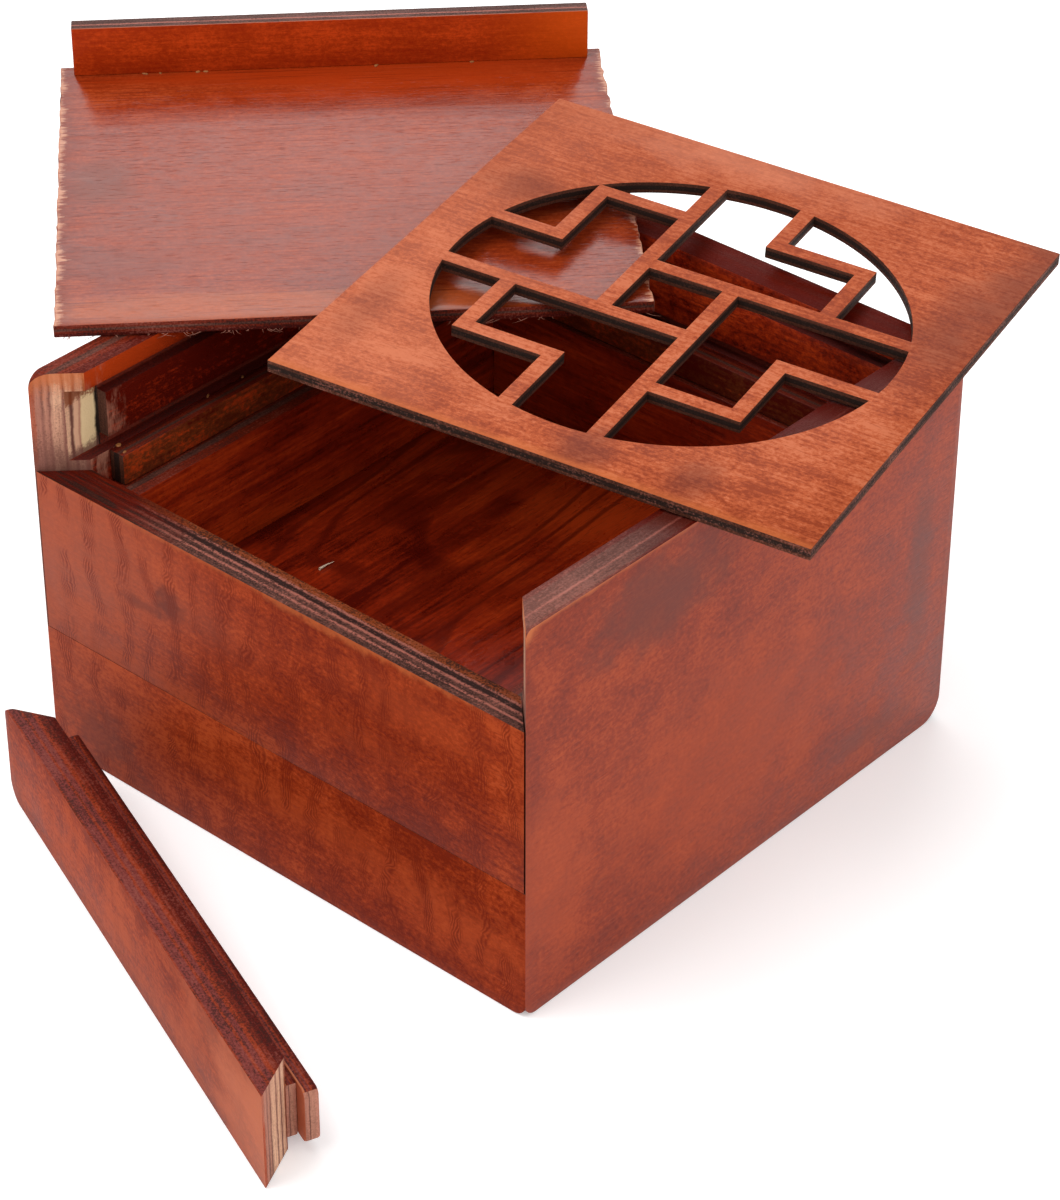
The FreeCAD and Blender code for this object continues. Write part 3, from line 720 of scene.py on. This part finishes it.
def wall_faces(board):
    """Chooses a wall's finishes: its faces and arrises, bare mitre, pocket, sill, grooves and the pocket's
    end, painted as shade.
    """
    hair = bpy.context.scene.box_boards.hair
    wall_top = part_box(board.nodes[0])[1].z
    ledge_low, ledge_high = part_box("ledge_left")
    face = two_faced(board, "arris")

    def choose(centre, normal):
        along, _, depth = board.local(centre)
        found = face(centre, normal)
        mitred = MITRE_LEAST < abs(normal.dot(board.outward)) < MITRE_MOST
        at_end = abs(along) > board.half_length - board.thickness
        if mitred and at_end and abs(normal.z) < MITRE_RISE:
            return "bare"
        cut = hair < depth < board.thickness - hair
        if cut and centre.y < ledge_low.y + hair and board.outward.y < 0.5:
            if found == "inner":
                return "pocket"
            if normal.z > FLAT and centre.z < ledge_high.z + hair:
                return "sill"
            if abs(normal.y) > FLAT:
                return "shade"
        if cut and (found == "inner" or abs(normal.z) > FLAT) and centre.z < wall_top - hair:
            return "groove"
        return found
    return choose


class PUZZLEBOX_OT_walls(Operator):
    """Dresses the three mitred walls and the base"""

    bl_idname = "puzzlebox.walls"
    bl_label = "Walls"

    def execute(self, context):
        width = context.scene.box_boards.wall_arris
        for node, outward, shift in (("left_wall", -X, 2.0), ("right_wall", X, 0.0), ("back_wall", Y, 5.0)):
            left, right = node == "left_wall", node == "right_wall"
            board = Board(node, Y if left or right else X, outward)
            finishes = {
                "outer": veneer(
                    node + "_veneer", board, OUTER, gloss=0.42, sheen=0.24, shift=shift,
                    marks=right_marks if right else None, cloud=0.5, streak=0.1, fibre=0.25, speck=1.1),
                "inner": veneer(
                    node + "_inside", board, SHADED if left else INNER, gloss=0.3, shift=shift + 1.0,
                    marks=left_marks if left else None),
                "edge": ply_edge(
                    node + "_edge", board, WALL_TOP if right else DARK, gloss=0.38,
                    sheen=0.10 if right else 0.04, soften=0.45 if right else 0.8, lift=0.2, shift=shift,
                    marks=top_marks),
                "arris": worn_arris(node + "_arris", board, shift=shift),
                "bare": ply_edge(
                    node + "_mitre", board, BARE, gloss=0.7, soften=0.35, shift=shift, soiled=0.5,
                    marks=mitre_marks),
                "pocket": ply_edge(
                    node + "_pocket", board, ((1.0, "peach"),), gloss=0.7, soften=0.2, lift=0.0,
                    shift=shift, marks=pocket_marks),
                "sill": ply_edge(
                    node + "_sill", board, ((1.0, "tan"),), gloss=0.6, soften=0.5, shift=shift),
                "groove": ply_edge(node + "_groove", board, DARK, gloss=0.6, lift=0.1, shift=shift),
                # Painted shade: the pocket's end is dressed in the burnt plies to stand for the shade in
                # it.
                "shade": ply_edge(node + "_pocket_end_shade", board, BURNT, gloss=0.7, lift=0.1),
            }
            make_board(node, node + "_board", width, finishes, wall_faces(board), "box")
        base = Board("base_board", X, -Z)
        finishes = {
            "outer": veneer("base_veneer", base, OUTER, gloss=0.6, shift=7.0),
            "inner": veneer("base_inside", base, INNER, gloss=0.4, shift=8.0),
            "edge": ply_edge("base_edge", base, STAINED),
        }
        make_board("base_board", "base_board_board", width, finishes, two_faced(base), "box")
        return {"FINISHED"}


# -------------------------------------------------------------- front boards


def front_marks(finish, grain, colour):
    """A painted sheen, pale toward the left and the top, a knot, the curly figure and a worn top arris."""
    along, across, _ = finish.shares()
    drift = finish.spread(along, (grain["cloud"], 1.6))
    rough = finish.even(260.0, 5.0)
    # Painted sheen: the pale patch grows toward the left and the top, where the lacquer's reflection lies.
    leftward = finish.fade(drift, -1.0, -0.05, 0.62, 0.0)
    bloom_and_sheen = finish.times(leftward, finish.fade(across, -0.6, 1.0, 1.0, 0.35))
    colour = finish.blend(bloom_and_sheen, colour, "bloom_and_sheen")
    for spot in (
            ((-0.62, 0.04), (0.42, 0.10), 0.45, "outer_light"),
            ((-0.80, 0.72), (0.20, 0.30), 0.55, "smudge_and_shadow"),
            ((0.02, 0.42), (0.40, 0.20), 0.35, "outer_light"),
            ((-0.435, -0.55), (0.075, 0.17), 0.85, "smudge_and_shadow"),
            ((-0.56, -0.44), (0.14, 0.06), 0.55, "smudge_and_shadow"),
            ((0.35, -0.35), (0.40, 0.16), 0.35, "outer_light"),
            ((0.58, -0.74), (0.50, 0.30), 0.40, "outer_light"),
            ((0.30, 0.46), (0.70, 0.22), 0.40, "outer_light"),
            ((0.75, 0.62), (0.45, 0.34), 0.55, "outer_light")):
        core = 0.3 if spot[-1] == "smudge_and_shadow" else 0.0
        colour = finish.spot(colour, rough, 1.9, core, *spot)
    colour = curly(finish, colour, 0.85)
    below = finish.times(finish.maths("ADD", across, 1.0), finish.board.half_width)
    below = finish.spread(below, (rough, 0.004), (grain["mottle"], 0.003), (grain["cloud"], 0.006))
    worn = finish.fade(below, -0.0008, 0.0014, 0.5, 0.0)
    return finish.blend(finish.times(worn, finish.fade(along, -1.0, 0.3, 0.5, 1.0)), colour, "glow")


def front_top_marks(finish, grain, colour):
    """The left end of the top edge, where lacquer has filled the plies."""
    along = finish.spread(finish.shares()[0], (grain["wander"], 0.5))
    streaks = finish.noise((90, 90, 1500), 3.0, 0.7)
    lacquer = finish.ramp(streaks, ((0.40, "glue_line"), (0.52, "inner_dark"), (0.80, "outer_dark")))
    return finish.blend(finish.fade(along, -0.62, -0.38, 0.95, 0.0), colour, lacquer)


class PUZZLEBOX_OT_front(Operator):
    """Dresses the front rail and the tray's front, whose figure runs from one to the other"""

    bl_idname = "puzzlebox.front"
    bl_label = "Front boards"

    def execute(self, context):
        width = context.scene.box_boards.front_arris
        board = Board(("front_rail", "tray_front"), X, -Y)
        finishes = {
            "outer": veneer(
                "front_veneer", board, OUTER, sheen=0.05, shift=1.0, marks=front_marks,
                cloud=0.8, streak=0.35, fibre=0.5, mottle=1.1, speck=1.5),
            "inner": veneer("front_inside", board, INNER, gloss=0.3, shift=9.0),
            "edge": ply_edge(
                "front_edge", board, STAINED, gloss=0.45, sheen=0.07, soften=0.9, lift=0.5, shift=4.0,
                marks=front_top_marks),
        }
        for node, body in (("front_rail", "box"), ("tray_front", "tray")):
            make_board(node, node + "_board", width, finishes, two_faced(board), body)
        return {"FINISHED"}


# ------------------------------------------------------------ strips and tray


class PUZZLEBOX_OT_strips(Operator):
    """Dresses the ledges under the lid and the runners under the tray"""

    bl_idname = "puzzlebox.strips"
    bl_label = "Strips"

    def execute(self, context):
        width = context.scene.box_boards.wall_arris
        for node, along, outward in (
                ("ledge_left", Y, X), ("ledge_right", Y, -X), ("ledge_back", X, -Y),
                ("runner_left", Y, X), ("runner_right", Y, -X)):
            board = Board(node, along, outward)
            finishes = {
                "outer": veneer(node + "_face", board, OLIVE, gloss=0.35, shift=len(node)),
                "inner": ply_edge(node + "_back", board, DARK),
                "edge": ply_edge(node + "_edge", board, DARK, gloss=0.4, lift=0.15),
                "end": ply_edge(node + "_end", board, BURNT, gloss=0.5, lift=0.15),
            }
            faces = two_faced(board, ends="end")
            make_board(node, node + "_strip", width, finishes, faces, "box")
        return {"FINISHED"}


def floor_figure(finish, grain, colour):
    """The long drawn-out rings of a flat-cut board."""
    slow = finish.noise((5.0, 24.0, 24.0), 2.0, 0.45, 0.2)
    rings = finish.maths("SINE", finish.times(slow, 75.0))
    return finish.blend(finish.fade(rings, 0.45, 1.0, 0.0, 0.6), colour, "inner_dark")


class PUZZLEBOX_OT_tray(Operator):
    """Dresses the tray's floor, sides and back"""

    bl_idname = "puzzlebox.tray"
    bl_label = "Tray"

    def execute(self, context):
        width = context.scene.box_boards.wall_arris
        for node, along, outward, streak, marks in (
                ("tray_floor", Y, Z, 0.7, floor_figure), ("tray_left_side", Y, X, 0.8, None),
                ("tray_right_side", Y, -X, 0.8, None), ("tray_back", X, -Y, 0.8, None)):
            board = Board(node, along, outward)
            look = dict(gloss=0.3, sheen=0.25, rim=0.2, shift=len(node) * 1.7, speck=0.4, mottle=0.5)
            finishes = {
                "outer": veneer(
                    node + "_inside", board, INNER, streak=streak, cloud=1.4, marks=marks, **look),
                "inner": veneer(node + "_outside", board, INNER, **look),
                "edge": ply_edge(node + "_edge", board, DARK, gloss=0.4),
            }
            make_board(node, node + "_board", width, finishes, two_faced(board), "tray")
        return {"FINISHED"}


# ------------------------------------------------------------------- key bar


def bar_marks(finish, grain, colour):
    """The curly figure, and a pale mottled patch that grows toward the near end, partly dirt and partly
    painted sheen.
    """
    colour = curly(finish, colour, 0.5)
    drift = finish.spread(finish.shares()[0], (grain["cloud"], 1.5))
    # Partly painted sheen: the face grows paler and pinker toward the near end.
    near = finish.fade(drift, -0.4, 1.0, 0.05, 1.0)
    dust_and_sheen = finish.times(finish.fade(grain["mottle"], 0.35, 0.65, 0.15, 0.8), near)
    colour = finish.blend(dust_and_sheen, colour, "bloom_and_sheen")
    return finish.blend(finish.times(finish.fade(drift, 0.3, 1.2), 0.45), colour, "dust_and_sheen")


class PUZZLEBOX_OT_key_bar(Operator):
    """Dresses the key bar's face, neck and tongue"""

    bl_idname = "puzzlebox.key_bar"
    bl_label = "Key bar"

    def execute(self, context):
        width = context.scene.box_boards.bar_arris
        along = longest_edge("key_bar_face")
        outward = flat_normal("key_bar_face")
        for node, bare in (("key_bar_face", BARE), ("key_bar_neck", SAWN), ("key_bar_tongue", SAWN)):
            board = Board(node, along, outward)
            shift = float(len(node))
            finishes = {
                "outer": veneer(
                    node + "_veneer", board, OUTER, gloss=0.5, sheen=0.05, shift=shift, marks=bar_marks,
                    speck=1.7, mottle=1.2),
                "inner": veneer(node + "_back", board, INNER, gloss=0.4, shift=shift + 2.0),
                "edge": ply_edge(
                    node + "_edge", board, BAR_TOP, gloss=0.5, sheen=0.12, soften=0.75, lift=0.3),
                "arris": worn_arris(node + "_arris", board, 0.9, shift),
                "bare": ply_edge(node + "_end", board, bare, gloss=0.7, soften=0.25, soiled=0.45),
            }
            faces = two_faced(board, "arris", "bare")
            make_board(node, node + "_board", width, finishes, faces, "key_bar")
        return {"FINISHED"}


# ----------------------------------------------------------------------- lid


def lid_marks(finish, grain, colour):
    """Bare wood where the sides were scraped to slide in their grooves, smudges near them, a painted
    reflection of the fence beside it and a painted sheen that lightens the middle.
    """
    for spot in (
            ((-0.84, -0.05), (0.16, 0.24), 0.65, "smudge_and_shadow"),
            ((-0.78, 0.62), (0.25, 0.20), 0.40, "outer_dark"),
            # Painted sheen: a broad lighter patch over the middle of the lid.
            ((0.00, 0.10), (1.30, 0.90), 0.20, "outer_light"),
            ((-0.20, 0.92), (1.30, 0.16), 0.35, "glow"),
            ((0.55, -0.55), (0.50, 0.10), 0.35, "outer_dark"),
            # Painted reflection: the fence's own colour laid on the lid beside the fence, where the lid
            # mirrors it.
            ((0.00, -0.90), (1.20, 0.32), 0.85, "fence")):
        colour = finish.spot(colour, grain["streak"], 1.4, 0.3, *spot)
    hairs = finish.noise((26, 1500, 1500), 2.0, 0.7)
    colour = finish.blend(finish.fade(hairs, 0.56, 0.68, 0.0, 0.65), colour, "outer_dark")
    colour = finish.blend(finish.fade(hairs, 0.38, 0.26, 0.0, 0.4), colour, "bloom_and_sheen")
    outward = finish.maths("ABSOLUTE", finish.axes(finish.place)[0])
    side = finish.spread(
        finish.maths("SUBTRACT", finish.board.half_length, outward),
        (grain["streak"], 0.006), (grain["fibre"], 0.006), (grain["speck"], 0.003))
    colour = finish.blend(finish.fade(side, 0.0005, 0.0060, 0.45, 0.0), colour, "outer_dark")
    return finish.blend(finish.fade(side, 0.0, 0.0018, 0.85, 0.0), colour, "scraped")


def fence_marks(finish, grain, colour):
    """The right end is a paler orange."""
    drift = finish.spread(finish.shares()[0], (grain["cloud"], 0.5))
    return finish.blend(finish.fade(drift, 0.5, 1.0, 0.0, 0.6), colour, "ember")


class PUZZLEBOX_OT_lid(Operator):
    """Dresses the sliding lid and the fence glued along it"""

    bl_idname = "puzzlebox.lid"
    bl_label = "Lid"

    def execute(self, context):
        width = context.scene.box_boards.lid_arris
        lid, fence = lid_boards()
        finishes = {
            "outer": veneer(
                "lid_veneer", lid, OUTER, gloss=0.22, sheen=0.34, shift=6.0, marks=lid_marks,
                cloud=0.4, streak=0.25, mottle=0.7, speck=1.0),
            "inner": veneer("lid_underside", lid, INNER, shift=3.0),
            "edge": ply_edge("lid_edge", lid, DARK, gloss=0.7, sheen=0.15, soften=0.9, lift=0.45),
            "bare": ply_edge("lid_side", lid, SAWN, gloss=0.7, sheen=0.25, soften=0.4),
        }
        make_board(
            "lid_panel", "lid_board", width, finishes, two_faced(lid, ends="bare"), "lid",
            lambda piece: fray_sides(piece, lid))
        finishes = {
            "outer": veneer(
                "fence_veneer", fence, FENCE, gloss=0.35, sheen=0.03, shift=11.0, marks=fence_marks),
            "inner": veneer("fence_back", fence, OUTER, gloss=0.35, shift=12.0),
            "edge": ply_edge("fence_edge", fence, FENCE_TOP),
            "arris": worn_arris("fence_arris", fence, 0.5),
        }
        make_board(
            "lid_fence", "fence_board", width, finishes, two_faced(fence, "arris"), "lid")
        return {"FINISHED"}


# ------------------------------------------------------------------ fretwork


def fret_marks(finish, grain, colour):
    """Stain pooled along one side, a painted highlight paling the corner opposite, painted shade darkening
    the top corner, and a worn front arris.
    """
    along, across, _ = finish.shares()
    blotch = finish.even(60.0, 5.0)
    # Painted highlight: one corner made paler where the light falls brightest.
    pale = finish.fade(finish.spread(along, (blotch, 1.6)), -0.9, 0.1, 0.22, 0.0)
    pale = finish.times(pale, finish.fade(across, -0.7, 0.2, 0.8, 1.0))
    colour = finish.blend(pale, colour, "dust_and_sheen")
    # Painted shade: the top corner darkened where less light falls.
    deep = finish.fade(finish.spread(across, (blotch, 0.9)), -0.8, 0.4, 0.25, 0.0)
    deep = finish.times(deep, finish.fade(along, -0.1, 1.0, 1.0, 0.5))
    colour = finish.blend(deep, colour, "fret_dark")
    for spot in (
            ((-0.20, -0.95), (0.80, 0.20), 0.45, "dust_and_sheen"),
            ((0.12, 0.90), (0.16, 0.22), 0.60, "smudge_and_shadow"),
            ((0.50, 0.88), (0.12, 0.20), 0.55, "smudge_and_shadow"),
            ((-0.88, 0.55), (0.12, 0.40), 0.35, "smudge_and_shadow"),
            ((-0.80, -0.40), (0.26, 0.22), 0.50, "smudge_and_shadow"),
            ((0.86, -0.35), (0.20, 0.70), 0.50, "smudge_and_shadow")):
        colour = finish.spot(colour, blotch, 1.6, 0.0, *spot)
    side = finish.fade(finish.spread(along, (grain["mottle"], 0.25), (grain["streak"], 0.3)), 0.80, 1.0)
    side = finish.times(side, finish.fade(across, -0.9, 0.4, 1.0, 0.1))
    colour = finish.blend(finish.times(side, 0.6), colour, "smudge_and_shadow")
    front = finish.fade(finish.spread(across, (grain["mottle"], 0.06)), 0.95, 1.0)
    return finish.blend(finish.times(front, 0.6), colour, "glow")


class PUZZLEBOX_OT_fretwork(Operator):
    """Dresses the fretwork panel and its burnt cuts"""

    bl_idname = "puzzlebox.fretwork"
    bl_label = "Fretwork"

    def execute(self, context):
        node = "lattice_panel"
        boards = context.scene.box_boards
        board = Board(node, longest_edge(node), flat_normal(node))
        finishes = {
            "outer": veneer(
                "fret_veneer", board, FRET, gloss=0.6, sheen=0.10, rim=0.0, shift=4.0, marks=fret_marks,
                mottle=1.3, cloud=0.8, fibre=1.1, speck=1.6),
            "inner": veneer("fret_underside", board, FRET, gloss=0.6, shift=6.0),
            "edge": ply_edge("fret_edge", board, BURNT, gloss=0.8, sheen=0.2, lift=0.1),
            "rim": ply_edge("fret_rim", board, BURNT, gloss=0.8, sheen=0.15, soften=0.8, lift=0.45),
        }
        face = two_faced(board)
        outline = 5 * boards.hair

        def choose(centre, normal):
            found = face(centre, normal)
            along, across, _ = board.local(centre)
            inside = min(board.half_length - abs(along), board.half_width - abs(across))
            return "rim" if found == "edge" and inside < outline else found

        make_board(
            node, "fretwork_board", boards.fret_arris, finishes, choose, "lattice")
        return {"FINISHED"}


# ----------------------------------------------------------- fibres and glue

# How far a small piece is tucked into the board that it sticks to.
TUCK = 0.0002
# The bends of the splinter on the tray's floor, from its left end.
SPLINTER = ((0.0, 0.0, 0.0), (0.0001, 0.0024, 0.0001), (0.0004, 0.0046, 0.0))
# The least and greatest half width, half length and half height of a bead of glue.
BEAD = ((0.0003, 0.0007), (0.0003, 0.0009), (0.00015, 0.0003))


def slivers(name, strands, thickness, material):
    """One mesh of tapered strands, each a list of points."""
    curve = bpy.data.curves.new(name, "CURVE")
    curve.dimensions = "3D"
    curve.bevel_depth = thickness
    curve.bevel_resolution = 1
    for points in strands:
        spline = curve.splines.new("POLY")
        spline.points.add(len(points) - 1)
        for index, point in enumerate(points):
            spline.points[index].co = (*point, 1.0)
            spline.points[index].radius = 1.0 - 0.85 * index / (len(points) - 1)
    piece = bpy.data.objects.new(name, curve)
    bpy.context.scene.collection.objects.link(piece)
    only(piece)
    bpy.ops.object.convert(target="MESH")
    piece = bpy.context.object
    piece.data.materials.append(material)
    return piece


class PUZZLEBOX_OT_fibres(Operator):
    """Hangs torn fibres from the lid's near edge and leaves a splinter on the tray's floor"""

    bl_idname = "puzzlebox.fibres"
    bl_label = "Fibres"

    def execute(self, context):
        boards = context.scene.box_boards
        lid, _ = lid_boards()
        near = lid.half_width - TUCK
        draw = random.Random(FIBRE_SEED)
        strands = []
        for _ in range(boards.fibre_count):
            along = draw.uniform(-0.97, 0.97) * lid.half_length
            reach = draw.uniform(0.3, 1.0) ** 2 * boards.fibre_length
            lean = draw.uniform(-2.2, 2.2) * reach
            proud = draw.uniform(-TUCK, 3.0 * TUCK)
            strands.append([
                lid.world(along, near, lid.thickness - TUCK),
                lid.world(along + 0.45 * lean, near + 1.5 * TUCK, lid.thickness + 0.25 * reach),
                lid.world(along + lean, near + proud, lid.thickness + 0.5 * reach)])
        torn = plain_wood("torn_fibre", "salmon")
        piece = slivers("lid_fibres", strands, boards.fibre_thickness, torn)
        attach(piece, "lid")
        low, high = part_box("tray_floor")
        start = Vector((
            low.x + 0.2 * (high.x - low.x), low.y + 0.32 * (high.y - low.y), high.z + 1.5 * TUCK))
        points = [start + Vector(bend) for bend in SPLINTER]
        clean = plain_wood("splinter_wood", "splinter")
        piece = slivers("floor_splinter", [points], boards.splinter_thickness, clean)
        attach(piece, "tray")
        return {"FINISHED"}


def beads(name, places, material, draw):
    """One mesh of small flattened drops."""
    bpy.ops.object.select_all(action="DESELECT")
    drops = []
    for place in places:
        bpy.ops.mesh.primitive_ico_sphere_add(subdivisions=2, radius=1.0, location=place)
        drop = bpy.context.object
        drop.scale = [draw.uniform(*span) for span in BEAD]
        drop.rotation_euler = (0.0, 0.0, draw.uniform(0.0, math.pi))
        drops.append(drop)
    for drop in drops:
        drop.select_set(True)
    bpy.context.view_layer.objects.active = drops[0]
    bpy.ops.object.join()
    bpy.ops.object.transform_apply(location=True, rotation=True, scale=True)
    bpy.ops.object.shade_smooth()
    piece = bpy.context.object
    piece.name = name
    piece.data.materials.append(material)
    return piece


class PUZZLEBOX_OT_glue(Operator):
    """Leaves specks of dried glue along the fence and the left ledge"""

    bl_idname = "puzzlebox.glue"
    bl_label = "Glue specks"

    def execute(self, context):
        draw = random.Random(GLUE_SEED)
        _, fence = lid_boards()
        glue = plain_wood("dried_glue", "glue_bead", 0.4)
        places = [
            fence.world(draw.uniform(-0.85, 0.6) * fence.half_length, fence.half_width - TUCK / 2, -TUCK)
            for _ in range(6)]
        piece = beads("fence_glue", places, glue, draw)
        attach(piece, "lid")
        low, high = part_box("ledge_left")
        height = high.z + TUCK / 2
        places = [
            (low.x + 1.5 * TUCK, low.y + draw.random() ** 2 * (high.y - low.y), height)
            for _ in range(5)]
        places.append((high.x - 0.001, low.y + 0.0015, height))
        piece = beads("ledge_glue", places, glue, draw)
        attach(piece, "box")
        return {"FINISHED"}


# --------------------------------------------------------------------- stage


# The middle of the box, how far the floor lies under it, and the camera's film width in mm.
MIDDLE = Vector((0.0, 0.0, 0.06))
FLOOR_DROP = 0.0002
FLOOR_SIDES = 96
FILM_WIDTH = 36.0


def lamp(name, power, size, place):
    """A square soft lamp that looks at the middle of the box."""
    bpy.ops.object.light_add(type="AREA", location=place)
    light = bpy.context.object
    light.name = name
    light.data.shape = "SQUARE"
    light.data.size = size
    light.data.energy = power
    light.rotation_euler = (MIDDLE - Vector(place)).to_track_quat("-Z", "Y").to_euler()


class PUZZLEBOX_OT_stage(Operator):
    """Sets up the floor, the lamps and the camera"""

    bl_idname = "puzzlebox.stage"
    bl_label = "Stage"

    def execute(self, context):
        scene = context.scene
        stage = scene.box_stage
        bpy.ops.object.select_all(action="DESELECT")
        bpy.ops.mesh.primitive_circle_add(
            vertices=FLOOR_SIDES, radius=stage.floor_radius, fill_type="NGON",
            location=(0, 0, -FLOOR_DROP))
        floor = context.object
        floor.name = "stage_floor"
        pale = Finish("stage_white")
        pale.set(Base_Color="floor_white", Roughness=0.9, Specular_IOR_Level=0.2)
        pale.set(Emission_Color=(1.0, 1.0, 1.0), Emission_Strength=stage.floor_glow)
        floor.data.materials.append(pale.material)
        world = bpy.data.worlds.new("white_surround")
        world.use_nodes = True
        surround = world.node_tree.nodes["Background"].inputs
        surround["Color"].default_value = (1, 1, 1, 1)
        surround["Strength"].default_value = stage.sky_strength
        scene.world = world
        scene.view_settings.view_transform = "Standard"
        lamp("rear_lamp", stage.rear_power, 1.0, (-0.62, 0.62, 0.95))
        lamp("top_lamp", stage.top_power, 0.9, (-0.35, -0.60, 1.30))
        lamp("side_lamp", stage.side_power, 0.8, (1.2, -0.2, 0.7))
        bpy.ops.object.camera_add(location=stage.camera_place, rotation=stage.camera_turn)
        camera = context.object
        camera.name = "stage_camera"
        camera.data.lens = stage.camera_lens
        camera.data.sensor_width = FILM_WIDTH
        camera.data.clip_start = 0.01
        camera.data.clip_end = 50.0
        scene.camera = camera
        return {"FINISHED"}


class PUZZLEBOX_PT_sidebar(Panel):
    """Lists the steps and the settings in the sidebar"""

    bl_idname = "PUZZLEBOX_PT_sidebar"
    bl_label = "Puzzle box"
    bl_space_type = "VIEW_3D"
    bl_region_type = "UI"
    bl_category = "Puzzle box"

    def draw(self, context):
        for step in STEPS:
            self.layout.operator(step.bl_idname)
        for group in (context.scene.box_boards, context.scene.box_stain, context.scene.box_stage):
            column = self.layout.column()
            for name in group.bl_rna.properties.keys():
                if name not in {"rna_type", "name"}:
                    column.prop(group, name)


STEPS = (
    PUZZLEBOX_OT_stage,
    PUZZLEBOX_OT_walls,
    PUZZLEBOX_OT_front,
    PUZZLEBOX_OT_strips,
    PUZZLEBOX_OT_tray,
    PUZZLEBOX_OT_key_bar,
    PUZZLEBOX_OT_lid,
    PUZZLEBOX_OT_fretwork,
    PUZZLEBOX_OT_fibres,
    PUZZLEBOX_OT_glue,
)
SETTINGS = {
    "box_boards": BoardSettings,
    "box_stain": StainSettings,
    "box_stage": StageSettings,
}


def register():
    for name, settings in SETTINGS.items():
        bpy.utils.register_class(settings)
        setattr(bpy.types.Scene, name, PointerProperty(type=settings))
    for step in STEPS:
        bpy.utils.register_class(step)
    bpy.utils.register_class(PUZZLEBOX_PT_sidebar)


def unregister():
    bpy.utils.unregister_class(PUZZLEBOX_PT_sidebar)
    for step in reversed(STEPS):
        bpy.utils.unregister_class(step)
    for name, settings in SETTINGS.items():
        delattr(bpy.types.Scene, name)
        bpy.utils.unregister_class(settings)


def main():
    register()
    for step in STEPS:
        group, name = step.bl_idname.split(".")
        getattr(getattr(bpy.ops, group), name)()


if __name__ == "__main__":
    main()
